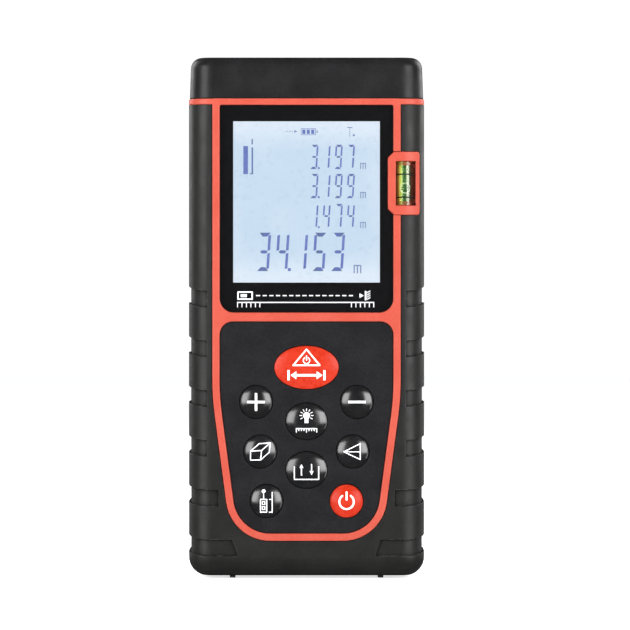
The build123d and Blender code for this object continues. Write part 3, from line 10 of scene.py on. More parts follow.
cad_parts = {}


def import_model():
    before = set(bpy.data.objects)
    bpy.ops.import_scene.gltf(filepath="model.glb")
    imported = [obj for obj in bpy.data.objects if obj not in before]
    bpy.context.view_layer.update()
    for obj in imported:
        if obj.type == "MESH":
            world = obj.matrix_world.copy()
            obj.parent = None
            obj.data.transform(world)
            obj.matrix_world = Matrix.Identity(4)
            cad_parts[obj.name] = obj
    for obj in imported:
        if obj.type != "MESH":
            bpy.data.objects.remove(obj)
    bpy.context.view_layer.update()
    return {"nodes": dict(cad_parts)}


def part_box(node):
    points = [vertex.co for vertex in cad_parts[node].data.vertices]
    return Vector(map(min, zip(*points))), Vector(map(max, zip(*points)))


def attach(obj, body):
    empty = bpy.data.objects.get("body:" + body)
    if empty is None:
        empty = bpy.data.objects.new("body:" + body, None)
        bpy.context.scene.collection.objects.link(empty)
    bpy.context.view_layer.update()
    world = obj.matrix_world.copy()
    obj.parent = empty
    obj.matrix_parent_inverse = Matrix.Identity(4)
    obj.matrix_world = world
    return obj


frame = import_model()

MM = 0.001
HOUSING = "housing"

# ---------------------------------------------------------------- colours, linear
RED = (0.400, 0.050, 0.028)
RED_WORN = (0.50, 0.095, 0.062)
KEY_RED = (0.39, 0.019, 0.005)
RUBBER = (0.0075, 0.0075, 0.0071)
RUBBER_DUSTY = (0.020, 0.020, 0.0185)
# grey of worn rubber edges, also a painted glint along them
RUBBER_WORN_AND_GLINT = (0.055, 0.055, 0.053)
BLACK = (0.0068, 0.0068, 0.0072)
BLACK_WORN = (0.022, 0.022, 0.024)
PANEL = (0.0062, 0.0063, 0.0075)
INK = (0.0012, 0.0012, 0.0016)
INK_THIN = (0.0035, 0.0035, 0.0045)
PRINT = (0.86, 0.87, 0.88)
PRINT_THIN = tuple(0.45 * channel for channel in PRINT)
KEY_BLACK = (0.0045, 0.0045, 0.005)
LCD_MIDDLE = (0.55, 0.69, 0.84)
LCD_EDGE = (0.74, 0.82, 0.93)
SEGMENT_BLUE = (0.105, 0.165, 0.48)
SEGMENT_LIGHT = (0.15, 0.21, 0.56)
SEGMENT_GREY = (0.095, 0.155, 0.32)
SEGMENT_FAINT = (0.23, 0.30, 0.50)
SEGMENT_FAINTER = (0.18, 0.25, 0.48)

NOISE_LOW, NOISE_HIGH = 0.3, 0.7  # nearly all of a noise lies between these

# ---------------------------------------------------------------- display, in mm
APERTURE_UP = 6.75  # the lit area starts this far above the printed border's lower edge
# the rest is measured from the lit area's bottom middle
LIT_WIDTH, LIT_HEIGHT = 33.2, 36.5
SLANT = 0.065  # how far the digits lean, per unit of height
SMALL_ROWS = (("3197", 25.7), ("3199", 19.1), ("1474", 12.3))  # digits, height of their feet
SMALL_DIGIT = {"left": 0.75, "pitch": 2.75, "width": 1.62, "height": 5.5, "upright": 0.38, "level": 0.52}
SMALL_UNIT = {"x": 12.15, "width": 1.3, "height": 1.4, "line": 0.2}
LARGE_ROW = ("34153", 2.6)
LARGE_DIGIT = {"left": -11.3, "pitch": 4.19, "width": 2.75, "height": 8.7, "upright": 0.60, "level": 0.90}
LARGE_UNIT = {"x": 10.65, "z": 2.1, "width": 1.75, "height": 1.9, "line": 0.27}
SEGMENTS = {
    "1": "bc",
    "3": "abcdg",
    "4": "bcfg",
    "5": "acdfg",
    "7": "abc",
    "9": "abcdfg",
}

# ---------------------------------------------------------------- prints, in mm
PRINT_T = 0.03  # how far a print stands proud
LABEL_PRINT_T = 0.012
RIB_T = 0.09  # arrow and grip ribs moulded on the battery cover
BEND_STEP = 0.3  # a print on a dome has points this close together


# ================================================================ materials
class Finish:
    """One material: a Principled shader, and short ways to feed it from the object's own coordinates."""

    def __init__(self, name, **inputs):
        self.material = bpy.data.materials.new(name)
        self.material.use_nodes = True
        self.tree = self.material.node_tree
        self.shader = self.tree.nodes["Principled BSDF"]
        self.place = self.add("TexCoord").outputs["Object"]
        self.normal = None
        for socket, value in inputs.items():
            self.feed(socket, value)

    def add(self, kind, **settings):
        made = self.tree.nodes.new("ShaderNode" + kind)
        for name, value in settings.items():
            setattr(made, name, value)
        return made

    def put(self, socket, value):
        if isinstance(value, bpy.types.NodeSocket):
            self.tree.links.new(value, socket)
        elif hasattr(value, "__len__") and len(value) == 3 and socket.type == "RGBA":
            socket.default_value = (*value, 1)
        else:
            socket.default_value = value

    def feed(self, socket, value):
        self.put(self.shader.inputs[socket], value)

    def noise(self, size, detail=3, stretch=(1, 1, 1), rough=0.55):
        """Noise whose features are about size across, 0 to 1 and mostly near 0.5."""
        scaled = self.add("Mapping")
        self.put(scaled.inputs["Vector"], self.place)
        scaled.inputs["Scale"].default_value = stretch
        made = self.add("TexNoise")
        self.put(made.inputs["Vector"], scaled.outputs["Vector"])
        made.inputs["Scale"].default_value = 1 / size
        made.inputs["Detail"].default_value = detail
        made.inputs["Roughness"].default_value = rough
        return made.outputs["Fac"]

    def cells(self, size, feature="F1"):
        made = self.add("TexVoronoi", feature=feature)
        self.put(made.inputs["Vector"], self.place)
        made.inputs["Scale"].default_value = 1 / size
        return made.outputs["Distance"]

    def stripes(self, axis, period):
        made = self.add("TexWave", bands_direction=axis, wave_profile="SIN")
        self.put(made.inputs["Vector"], self.place)
        made.inputs["Scale"].default_value = math.pi / (10 * period)
        return made.outputs["Fac"]

    def along(self, axis):
        """The object's own coordinate on one axis."""
        made = self.add("SeparateXYZ")
        self.put(made.inputs[0], self.place)
        return made.outputs[axis]

    def span(self, value, low, high, to_low=0.0, to_high=1.0, smooth=True):
        made = self.add("MapRange", interpolation_type="SMOOTHSTEP" if smooth else "LINEAR")
        self.put(made.inputs["Value"], value)
        for name, number in zip(("From Min", "From Max", "To Min", "To Max"), (low, high, to_low, to_high)):
            made.inputs[name].default_value = number
        return made.outputs["Result"]

    def vary(self, size, detail, low, high):
        """Noise that swings between low and high."""
        return self.span(self.noise(size, detail), NOISE_LOW, NOISE_HIGH, low, high)

    def maths(self, operation, a, b=0.0):
        made = self.add("Math", operation=operation)
        self.put(made.inputs[0], a)
        self.put(made.inputs[1], b)
        return made.outputs["Value"]

    def mix(self, factor, a, b):
        made = self.add("Mix", data_type="RGBA")
        self.put(made.inputs["Factor"], factor)
        self.put(made.inputs[6], a)
        self.put(made.inputs[7], b)
        return made.outputs[2]

    def blend_shaders(self, factor, a, b):
        made = self.add("MixShader")
        for socket, value in zip(made.inputs, (factor, a, b)):
            self.put(socket, value)
        return made.outputs[0]

    def show(self, shader):
        self.put(self.tree.nodes["Material Output"].inputs["Surface"], shader)

    def shown(self):
        """The shader that the surface shows so far."""
        return self.tree.nodes["Material Output"].inputs["Surface"].links[0].from_socket

    def round_edges(self, radius):
        """Edges catch the light as if rounded to radius."""
        made = self.add("Bevel", samples=4)
        made.inputs["Radius"].default_value = radius
        self.normal = made.outputs["Normal"]
        self.feed("Normal", self.normal)

    def edges(self, radius):
        """1 on sharp outer edges and folds, 0 on open faces."""
        bevel = self.add("Bevel", samples=4)
        bevel.inputs["Radius"].default_value = radius
        here = self.add("NewGeometry")
        dot = self.add("VectorMath", operation="DOT_PRODUCT")
        self.put(dot.inputs[0], bevel.outputs["Normal"])
        self.put(dot.inputs[1], here.outputs["Normal"])
        return self.span(dot.outputs["Value"], 0.995, 0.86)

    def bump(self, height, depth):
        made = self.add("Bump")
        made.inputs["Distance"].default_value = depth
        self.put(made.inputs["Height"], height)
        if self.normal:
            self.put(made.inputs["Normal"], self.normal)
        self.normal = made.outputs["Normal"]
        self.feed("Normal", self.normal)


def moulded(name, colour, worn, roughness, grain, grain_depth, shine=0.3, edge_wear_and_glint=None):
    """Moulded plastic or rubber: fine grain, slow waviness, soft handling marks and paler worn edges, which
    on the rubber are also a painted glint.
    """
    made = Finish(name)
    made.feed("Specular IOR Level", shine)
    made.round_edges(0.12 * MM)
    made.bump(made.noise(9 * MM, 1), 0.02 * MM)
    made.bump(made.noise(grain, 3), grain_depth)
    cloud = made.noise(6 * MM, 4)
    speck = made.noise(0.5 * MM, 2)
    tone = made.span(made.maths("ADD", cloud, speck), 0.75, 1.3, 0.0, 0.30)
    scuffs = made.span(made.noise(1.1 * MM, 5), 0.42, 0.62)
    wear = made.maths("MULTIPLY", made.edges(0.35 * MM), scuffs)
    open_faces = made.mix(tone, colour, worn)
    # the edge colour is wear; on the rubber it is also a painted glint along the edges
    made.feed("Base Color", made.mix(made.maths("MULTIPLY", wear, 0.8), open_faces, edge_wear_and_glint or worn))
    handled = made.vary(3.5 * MM, 4, roughness - 0.05, roughness + 0.06)
    made.feed("Roughness", made.maths("SUBTRACT", handled, made.maths("MULTIPLY", wear, 0.12)))
    return made


def red_plastic():
    texture = {"grain": 0.16 * MM, "grain_depth": 0.006 * MM}
    return moulded("red_moulding", RED, RED_WORN, roughness=0.42, shine=0.35, **texture)


def black_rubber():
    """Grained rubber, grey where hands rub its edges, with a painted glint on those edges and painted shade
    in its creases, where its gloss is taken away.
    """
    texture = {"grain": 0.22 * MM, "grain_depth": 0.018 * MM}
    made = moulded("grip_rubber", RUBBER, RUBBER_DUSTY, roughness=0.44, edge_wear_and_glint=RUBBER_WORN_AND_GLINT, **texture)
    # painted shade: ambient occlusion takes the gloss away in creases so that they look shaded
    folds = made.add("AmbientOcclusion", samples=6)
    folds.inputs["Distance"].default_value = 1.3 * MM
    made.feed("Specular IOR Level", made.span(folds.outputs["AO"], 0.50, 0.97, 0.0, 0.31))
    return made


def black_plastic():
    """Spark-eroded texture, coarser than the other mouldings."""
    texture = {"grain": 0.30 * MM, "grain_depth": 0.02 * MM}
    made = moulded("rear_moulding", BLACK, BLACK_WORN, roughness=0.52, shine=0.25, **texture)
    made.bump(made.cells(0.42 * MM, "SMOOTH_F1"), 0.012 * MM)
    return made


def cap_plastic():
    texture = {"grain": 0.2 * MM, "grain_depth": 0.01 * MM}
    return moulded("cap_moulding", BLACK, BLACK_WORN, roughness=0.38, shine=0.23, **texture)


def panel_plastic():
    texture = {"grain": 0.17 * MM, "grain_depth": 0.012 * MM}
    return moulded("keypad_moulding", PANEL, BLACK_WORN, roughness=0.50, shine=0.16, **texture)


def key_finish(name, colour, worn, roughness, coat):
    """Polished key: faint orange peel, and finger grease that changes its colour and gloss."""
    made = Finish(name, IOR=1.5)
    made.round_edges(0.08 * MM)
    made.bump(made.noise(1.4 * MM, 1), 0.004 * MM)
    made.bump(made.noise(0.12 * MM, 2), 0.0006 * MM)
    grease = made.noise(1.8 * MM, 4)
    made.feed("Base Color", made.mix(made.span(grease, 0.35, 0.75, 0.0, 0.5), colour, worn))
    made.feed("Roughness", made.span(grease, NOISE_LOW, NOISE_HIGH, roughness - 0.04, roughness + 0.07))
    made.feed("Coat Weight", coat)
    made.feed("Coat Roughness", roughness)
    return made


def key_black():
    return key_finish("key_gloss_black", KEY_BLACK, (0.010, 0.010, 0.011), roughness=0.20, coat=0.6)


def key_red():
    """Less glossy than the black keys."""
    made = key_finish("key_gloss_red", KEY_RED, (0.50, 0.035, 0.014), roughness=0.28, coat=0.04)
    made.feed("Specular IOR Level", 0.16)
    return made


def silicone():
    grey, dusty = (0.20, 0.20, 0.21), (0.30, 0.30, 0.31)
    made = moulded("mat_silicone", grey, dusty, roughness=0.55, grain=0.25 * MM, grain_depth=0.01 * MM)
    made.feed("Subsurface Weight", 0.15)
    made.feed("Subsurface Scale", 0.8 * MM)
    return made


def mirror_share(made, strength=1.0):
    """How much a clear surface mirrors at the angle it is seen, the same from either side."""
    edge_on = made.add("LayerWeight")
    edge_on.inputs["Blend"].default_value = 0.5
    steep = made.maths("POWER", edge_on.outputs["Facing"], 5.0)
    return made.span(steep, 0.0, 1.0, 0.035 * strength, 0.9, smooth=False)


def see_through(name, tint, roughness):
    """A clear pane: what is behind shows through, and it mirrors by its angle, with faint smears."""
    made = Finish(name)
    clear = made.add("BsdfTransparent")
    made.put(clear.inputs["Color"], tint)
    gloss = made.add("BsdfGlossy")
    smears = made.noise(7 * MM, 5, rough=0.65)
    made.put(gloss.inputs["Roughness"], made.span(smears, 0.4, 0.7, roughness, roughness + 0.06))
    made.show(made.blend_shaders(mirror_share(made), clear.outputs[0], gloss.outputs[0]))
    made.tree.nodes.remove(made.shader)
    return made


def window_clear():
    return see_through("window_acrylic", tint=(0.985, 0.99, 0.99), roughness=0.015)


def across_vial(made, node, light_and_shade_stops):
    """Colour that changes from left to right over a node."""
    lo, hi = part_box(node)
    ramp = made.add("ValToRGB")
    made.put(ramp.inputs["Fac"], made.span(made.along("X"), lo.x, hi.x, smooth=False))
    band = ramp.color_ramp
    while len(band.elements) < len(light_and_shade_stops):
        band.elements.new(0.5)
    for element, (place, colour) in zip(band.elements, light_and_shade_stops):
        element.position = place
        element.color = (*colour, 1)
    return ramp.outputs["Color"]


def tinted(name, node, light_and_shade_stops, tint, cover, roughness):
    """Clear plastic or liquid coloured with painted light and shade from left to right, glowing a little in
    those colours as painted light.
    """
    made = Finish(name)
    cloud = made.noise(1.5 * MM, 3)
    # painted light and shade: the body colour changes from left to right as lit and shaded parts of the vial
    body = across_vial(made, node, light_and_shade_stops)
    made.feed("Base Color", body)
    # painted light: the surface glows a little in its painted colours
    made.feed("Emission Color", body)
    made.feed("Emission Strength", 0.12)
    made.feed("Roughness", made.span(cloud, NOISE_LOW, NOISE_HIGH, roughness, roughness + 0.06))
    made.bump(made.noise(1.0 * MM, 1), 0.004 * MM)
    clear = made.add("BsdfTransparent")
    made.put(clear.inputs["Color"], tint)
    share = made.span(cloud, NOISE_LOW, NOISE_HIGH, cover - 0.05, cover + 0.05)
    made.show(made.blend_shaders(share, clear.outputs[0], made.shader.outputs[0]))
    return made


def vial():
    """Acrylic tube with painted light and shade across it: painted amber light at the left, painted shadow
    at the right, and lamp reflections along its crown in painted tints.
    """
    # painted light and shade across the tube: amber and yellow-green light at the left, green, then dark
    # brown shade at the right
    light_and_shade_stops = (
        (0.00, (0.80, 0.50, 0.14)),
        (0.14, (0.85, 0.66, 0.16)),
        (0.24, (0.62, 0.74, 0.10)),
        (0.34, (0.06, 0.22, 0.05)),
        (0.62, (0.05, 0.16, 0.05)),
        (0.80, (0.06, 0.035, 0.018)),
        (1.00, (0.14, 0.06, 0.035)),
    )
    # painted tints of the lamp reflections: yellow-green at the left, white at the right
    painted_reflection_tints = (
        (0.00, (0.60, 0.66, 0.20)),
        (0.45, (0.35, 0.46, 0.12)),
        (0.55, (1.0, 1.0, 0.97)),
        (1.00, (0.9, 0.9, 0.9)),
    )
    made = tinted("vial_acrylic", "vial_tube", light_and_shade_stops, tint=(0.95, 0.97, 0.88), cover=0.20, roughness=0.05)
    gloss = made.add("BsdfGlossy")
    made.put(gloss.inputs["Color"], across_vial(made, "vial_tube", painted_reflection_tints))
    made.put(gloss.inputs["Roughness"], made.vary(1.2 * MM, 3, 0.10, 0.16))
    made.show(made.blend_shaders(mirror_share(made, 1.3), made.shown(), gloss.outputs[0]))
    return made


def vial_fluid():
    """Tinted spirit with light and shade painted across it: painted yellow light at the left, deep green in
    the middle, a painted white highlight where light runs through, and painted shade at the right.
    """
    # painted light and shade across the spirit: yellow light at the left, green, a painted white highlight,
    # then dark shade at the right
    light_and_shade_stops = (
        (0.00, (0.70, 0.62, 0.08)),
        (0.10, (0.72, 0.84, 0.20)),
        (0.24, (0.66, 0.80, 0.18)),
        (0.31, (0.030, 0.125, 0.035)),
        (0.56, (0.024, 0.085, 0.030)),
        (0.62, (0.92, 0.96, 0.90)),
        (0.78, (0.92, 0.94, 0.90)),
        (0.86, (0.055, 0.045, 0.020)),
        (1.00, (0.040, 0.030, 0.016)),
    )
    return tinted("vial_spirit", "vial_fluid", light_and_shade_stops, tint=(0.80, 0.90, 0.50), cover=0.88, roughness=0.1)


def bubble():
    """Air in the liquid: dim in the middle, with a painted highlight that glows white on its rim."""
    made = see_through("bubble_air", tint=(0.36, 0.46, 0.30), roughness=0.02)
    rim = made.add("LayerWeight")
    rim.inputs["Blend"].default_value = 0.35
    # painted highlight: the rim glows white as if it caught the light
    painted_rim_highlight = made.add("Emission")
    painted_rim_highlight.inputs["Color"].default_value = (0.95, 0.98, 0.88, 1)
    bright = made.span(rim.outputs["Facing"], 0.20, 0.42, 0.0, 0.95)
    made.show(made.blend_shaders(bright, made.shown(), painted_rim_highlight.outputs[0]))
    return made


def mask_ink():
    """Black ink behind the window, a little thinner in places."""
    made = Finish("border_ink")
    made.feed("Specular IOR Level", 0.06)
    made.feed("Base Color", made.mix(made.noise(4 * MM, 4), INK, INK_THIN))
    made.feed("Roughness", made.vary(2 * MM, 3, 0.28, 0.42))
    made.bump(made.noise(0.3 * MM, 2), 0.002 * MM)
    return made


def white_print():
    """Screen-printed ink, darker where it is thin."""
    made = Finish("white_print")
    thin = made.span(made.noise(0.35 * MM, 4), 0.52, 0.74, 0.0, 0.22)
    made.feed("Base Color", made.mix(thin, PRINT, PRINT_THIN))
    made.feed("Roughness", made.vary(0.6 * MM, 3, 0.38, 0.55))
    made.bump(made.noise(0.15 * MM, 3), 0.004 * MM)
    return made


def lcd():
    """Backlit glass: bluer in the middle, paler round the rim, with uneven light."""
    made = Finish("display_glass")
    side_reach = 0.74  # the pale rim is narrower at the sides
    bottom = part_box("window_mask")[0].z + APERTURE_UP * MM
    across = made.maths("ABSOLUTE", made.maths("DIVIDE", made.along("X"), LIT_WIDTH / 2 * MM))
    up = made.maths("SUBTRACT", made.along("Z"), bottom + LIT_HEIGHT / 2 * MM)
    up = made.maths("ABSOLUTE", made.maths("DIVIDE", up, LIT_HEIGHT / 2 * MM))
    rim = made.span(made.maths("MAXIMUM", made.maths("MULTIPLY", across, side_reach), up), 0.55, 1.0)
    uneven = made.vary(12 * MM, 2, -0.18, 0.18)
    pale = made.maths("ADD", rim, uneven)
    colour = made.mix(pale, LCD_MIDDLE, LCD_EDGE)
    made.feed("Base Color", (0.05, 0.06, 0.07))
    made.feed("Emission Color", colour)
    made.feed("Emission Strength", 0.97)
    made.feed("Roughness", made.vary(1.5 * MM, 3, 0.25, 0.4))
    made.bump(made.noise(0.2 * MM, 2), 0.001 * MM)
    return made


def segment(name, colour, other):
    """Switched-on liquid crystal: darker or paler from place to place, lit from behind."""
    made = Finish(name)
    patch = made.span(made.noise(1.6 * MM, 3), 0.35, 0.65)
    shade = made.mix(patch, colour, other)
    made.feed("Base Color", (0.02, 0.02, 0.04))
    made.feed("Emission Color", shade)
    made.feed("Emission Strength", 0.95)
    made.feed("Roughness", made.vary(0.4 * MM, 2, 0.3, 0.5))
    return made


def white_plastic():
    white, pale = (0.72, 0.74, 0.76), (0.80, 0.81, 0.82)
    return moulded("light_guide", white, pale, roughness=0.45, grain=0.2 * MM, grain_depth=0.006 * MM)


def zebra():
    """Elastomer connector: thin dark conducting layers between pale ones."""
    made = Finish("zebra_rubber")
    layers = made.span(made.stripes("X", 0.18 * MM), 0.45, 0.55)
    made.feed("Base Color", made.mix(layers, (0.03, 0.03, 0.03), (0.62, 0.45, 0.30)))
    made.bump(layers, 0.004 * MM)
    made.feed("Roughness", made.vary(1 * MM, 3, 0.5, 0.7))
    return made


def board():
    """Green solder mask over copper tracks, with paler pads and woven glass under it."""
    made = Finish("circuit_board")
    made.round_edges(0.08 * MM)
    tracks = made.span(made.cells(2.4 * MM, "DISTANCE_TO_EDGE"), 0.07, 0.05)
    weave = made.maths("MULTIPLY", made.stripes("X", 0.5 * MM), made.stripes("Z", 0.5 * MM))
    mask = made.mix(weave, (0.004, 0.060, 0.020), (0.006, 0.085, 0.028))
    mask = made.mix(tracks, mask, (0.012, 0.17, 0.05))
    pads = made.span(made.cells(3.1 * MM), 0.17, 0.13)
    made.feed("Base Color", made.mix(pads, mask, (0.62, 0.60, 0.55)))
    made.feed("Metallic", pads)
    made.feed("Roughness", made.vary(2 * MM, 3, 0.28, 0.42))
    made.bump(made.maths("ADD", tracks, pads), 0.03 * MM)
    return made


def chips():
    black, grey = (0.013, 0.013, 0.014), (0.04, 0.04, 0.042)
    made = moulded("component_epoxy", black, grey, roughness=0.48, grain=0.12 * MM, grain_depth=0.008 * MM)
    made.bump(made.cells(0.25 * MM), 0.004 * MM)
    return made


def metal(name, colour, worn, roughness, lines=None, grain=0.15 * MM, depth=0.002 * MM):
    """Plated or bare metal: stain in the colour, uneven gloss, fine grain or tool lines."""
    made = Finish(name, Metallic=1.0)
    made.round_edges(0.08 * MM)
    stain = made.span(made.noise(2.2 * MM, 4), 0.4, 0.7)
    wear = made.edges(0.2 * MM)
    marks = made.maths("MAXIMUM", made.maths("MULTIPLY", stain, 0.6), wear)
    made.feed("Base Color", made.mix(marks, colour, worn))
    made.feed("Roughness", made.vary(0.9 * MM, 4, roughness - 0.07, roughness + 0.09))
    made.bump(made.noise(grain, 3), depth)
    if lines:
        made.bump(made.noise(0.06 * MM, 2, stretch=lines), depth)
    return made


def cast_alloy():
    grey, bright = (0.42, 0.42, 0.43), (0.62, 0.62, 0.63)
    return metal("cast_alloy", grey, bright, roughness=0.46, grain=0.4 * MM, depth=0.02 * MM)


def brass():
    return metal("turned_brass", (0.62, 0.40, 0.13), (0.80, 0.58, 0.26), 0.28, lines=(0.1, 0.1, 1))


def spring_steel():
    return metal("nickel_plate", (0.56, 0.55, 0.52), (0.72, 0.71, 0.68), 0.24, lines=(1, 1, 0.1))


def screw_steel():
    return metal("black_zinc", (0.075, 0.075, 0.08), (0.42, 0.42, 0.43), 0.34, lines=(0.2, 1, 0.2))


def coated_glass(name, film):
    """Optical glass with an anti-reflection film, film nanometres thick; light from lamps passes it."""
    made = Finish(name, IOR=1.52)
    made.feed("Base Color", (0.93, 0.96, 0.98))
    made.feed("Transmission Weight", 1.0)
    made.feed("Thin Film Thickness", film)
    made.feed("Thin Film IOR", 1.38)
    dust = made.span(made.noise(0.8 * MM, 5), 0.55, 0.8, 0.01, 0.09)
    made.feed("Roughness", dust)
    made.bump(made.noise(0.3 * MM, 2), 0.0002 * MM)
    lamp = made.add("LightPath").outputs["Is Shadow Ray"]
    clear = made.add("BsdfTransparent")
    made.show(made.blend_shaders(lamp, made.shader.outputs[0], clear.outputs[0]))
    return made


def lens():
    return coated_glass("lens_glass", film=430)


def small_window():
    return coated_glass("port_glass", film=520)


def flex():
    """Amber ribbon with copper tracks along it."""
    made = Finish("ribbon_film")
    tracks = made.span(made.stripes("X", 0.5 * MM), 0.5, 0.6)
    cloud = made.mix(made.noise(2 * MM, 3), (0.34, 0.11, 0.012), (0.44, 0.16, 0.02))
    made.feed("Base Color", made.mix(tracks, cloud, (0.58, 0.25, 0.06)))
    made.feed("Roughness", made.vary(1 * MM, 3, 0.22, 0.4))
    made.bump(tracks, 0.02 * MM)
    return made


def vial_black():
    """Matt black ink of the index lines and the label."""
    made = Finish("index_ink")
    made.feed("Specular IOR Level", 0.1)
    made.feed("Base Color", made.mix(made.noise(0.5 * MM, 3), (0.006, 0.006, 0.006), (0.016, 0.016, 0.016)))
    made.feed("Roughness", made.vary(0.4 * MM, 3, 0.3, 0.5))
    made.bump(made.noise(0.1 * MM, 2), 0.002 * MM)
    return made


def label():
    """Matt silver foil label."""
    made = Finish("label_foil", Metallic=0.35)
    made.feed("Base Color", made.mix(made.noise(5 * MM, 4), (0.22, 0.225, 0.23), (0.26, 0.265, 0.27)))
    made.feed("Roughness", made.vary(3 * MM, 4, 0.42, 0.52))
    made.bump(made.noise(0.08 * MM, 2, stretch=(0.05, 1, 1)), 0.003 * MM)
    return made


def cell_sleeve(node, up):
    """AAA cell: printed film with a copper-coloured shoulder, bare steel at both ends and on the nub."""
    made = Finish("sleeve_" + node)
    lo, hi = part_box(node)
    length = hi.z - lo.z
    tip = hi.z if up else lo.z
    away = made.maths("ABSOLUTE", made.maths("SUBTRACT", made.along("Z"), tip))
    film_start, shoulder_end, line_width = 1.7 * MM, 12.95 * MM, 0.8 * MM
    film_end = length - 0.45 * MM
    soft = 0.05 * MM

    def nearer(limit):
        """1 where the surface is nearer to the nub's tip than limit."""
        return made.span(away, limit + soft, limit - soft)

    def farther(limit):
        return made.span(away, limit - soft, limit + soft)

    shoulder = nearer(shoulder_end)
    film = made.mix(shoulder, (0.010, 0.010, 0.012), (0.58, 0.27, 0.09))
    line_start, line_end = shoulder_end - line_width / 2, shoulder_end + line_width / 2
    line = made.maths("MULTIPLY", farther(line_start), nearer(line_end))
    film = made.mix(line, film, (0.75, 0.75, 0.72))
    scuff = made.span(made.noise(1.5 * MM, 5), 0.55, 0.80, 0.0, 0.12)
    film = made.mix(scuff, film, (0.10, 0.10, 0.10))
    steel = made.maths("MAXIMUM", nearer(film_start), farther(film_end))
    made.feed("Base Color", made.mix(steel, film, (0.62, 0.61, 0.58)))
    made.feed("Metallic", made.maths("MAXIMUM", steel, made.maths("MULTIPLY", shoulder, 0.7)))
    made.feed("Roughness", made.vary(3 * MM, 4, 0.26, 0.34))
    made.bump(made.noise(4 * MM, 1), 0.003 * MM)
    return made


FINISHES = {
    "red_plastic": red_plastic,
    "black_rubber": black_rubber,
    "black_plastic": black_plastic,
    "cap_plastic": cap_plastic,
    "panel_plastic": panel_plastic,
    "window_clear": window_clear,
    "mask_ink": mask_ink,
    "key_black": key_black,
    "key_red": key_red,
    "silicone": silicone,
    "lcd": lcd,
    "white_plastic": white_plastic,
    "zebra": zebra,
    "board": board,
    "chips": chips,
    "cast_alloy": cast_alloy,
    "brass": brass,
    "lens": lens,
    "small_window": small_window,
    "spring_steel": spring_steel,
    "screw_steel": screw_steel,
    "flex": flex,
    "vial": vial,
    "vial_fluid": vial_fluid,
    "bubble": bubble,
    "vial_black": vial_black,
    "label": label,
}


def dress_nodes():
    """Gives each CAD node the finish of its material slot."""
    made = {slot: make().material for slot, make in FINISHES.items()}
    made_cells = {
        "aaa_cell_left": cell_sleeve("aaa_cell_left", up=True).material,
        "aaa_cell_right": cell_sleeve("aaa_cell_right", up=False).material,
    }
    for name, node in frame["nodes"].items():
        slot = node.data.materials[0].name
        node.data.materials[0] = made_cells.get(name) or made[slot]


# ================================================================ flat graphics, raised a little
def bar(x0, z0, x1, z1):
    """Upright rectangle from two corners."""
    return [(x0, z0), (x1, z0), (x1, z1), (x0, z1)]


def disc(x, z, radius, sides=20):
    turn = 2 * math.pi / sides
    return [(x + radius * math.cos(turn * i), z + radius * math.sin(turn * i)) for i in range(sides)]


def stroke(points, width, closed=False):
    """Line of even width with round joints and ends."""
    shapes = [disc(x, z, width / 2) for x, z in points]
    ends = points[1:] + points[:1] if closed else points[1:]
    for (x0, z0), (x1, z1) in zip(points, ends):
        length = math.hypot(x1 - x0, z1 - z0)
        side = Vector((z0 - z1, x1 - x0)) * width / 2 / length
        shapes.append(
            [
                (x0 - side.x, z0 - side.y),
                (x1 - side.x, z1 - side.y),
                (x1 + side.x, z1 + side.y),
                (x0 + side.x, z0 + side.y),
            ]
        )
    return shapes


def arc(x, z, radius, start, end, steps=16):
    """Points on an arc, angles in degrees from +x."""
    turns = [math.radians(start + (end - start) * i / steps) for i in range(steps + 1)]
    return [(x + radius * math.cos(t), z + radius * math.sin(t)) for t in turns]


def turned_left(shape):
    """The polygon with its corners counterclockwise."""
    area = sum(x0 * z1 - x1 * z0 for (x0, z0), (x1, z1) in zip(shape, shape[1:] + shape[:1]))
    return shape if area > 0 else shape[::-1]


def divided(shape, step):
    """The polygon with a corner at least every step along its sides."""
    corners = []
    for (x0, z0), (x1, z1) in zip(shape, shape[1:] + shape[:1]):
        parts = max(1, math.ceil(math.hypot(x1 - x0, z1 - z0) / step))
        corners += [(x0 + (x1 - x0) * i / parts, z0 + (z1 - z0) * i / parts) for i in range(parts)]
    return corners


def join_shapes(shapes, step):
    """The union of flat polygons as points and triangles, with points every step if it has to bend."""
    shapes = [turned_left(shape) for shape in shapes]
    if step:
        shapes = [divided(shape, step) for shape in shapes]
    points = [Vector(p) for shape in shapes for p in shape]
    faces = []
    for shape in shapes:
        start = faces[-1][-1] + 1 if faces else 0
        faces.append(list(range(start, start + len(shape))))
    if step:
        xs = [p.x for p in points]
        zs = [p.y for p in points]
        for i in range(int((max(xs) - min(xs)) / step) + 1):
            for k in range(int((max(zs) - min(zs)) / step) + 1):
                points.append(Vector((min(xs) + (i + 0.5) * step, min(zs) + (k + 0.5) * step)))
    found, _, triangles, _, _, inside = delaunay_2d_cdt(points, [], faces, 0, 1e-5)
    return found, [t for t, owners in zip(triangles, inside) if owners]


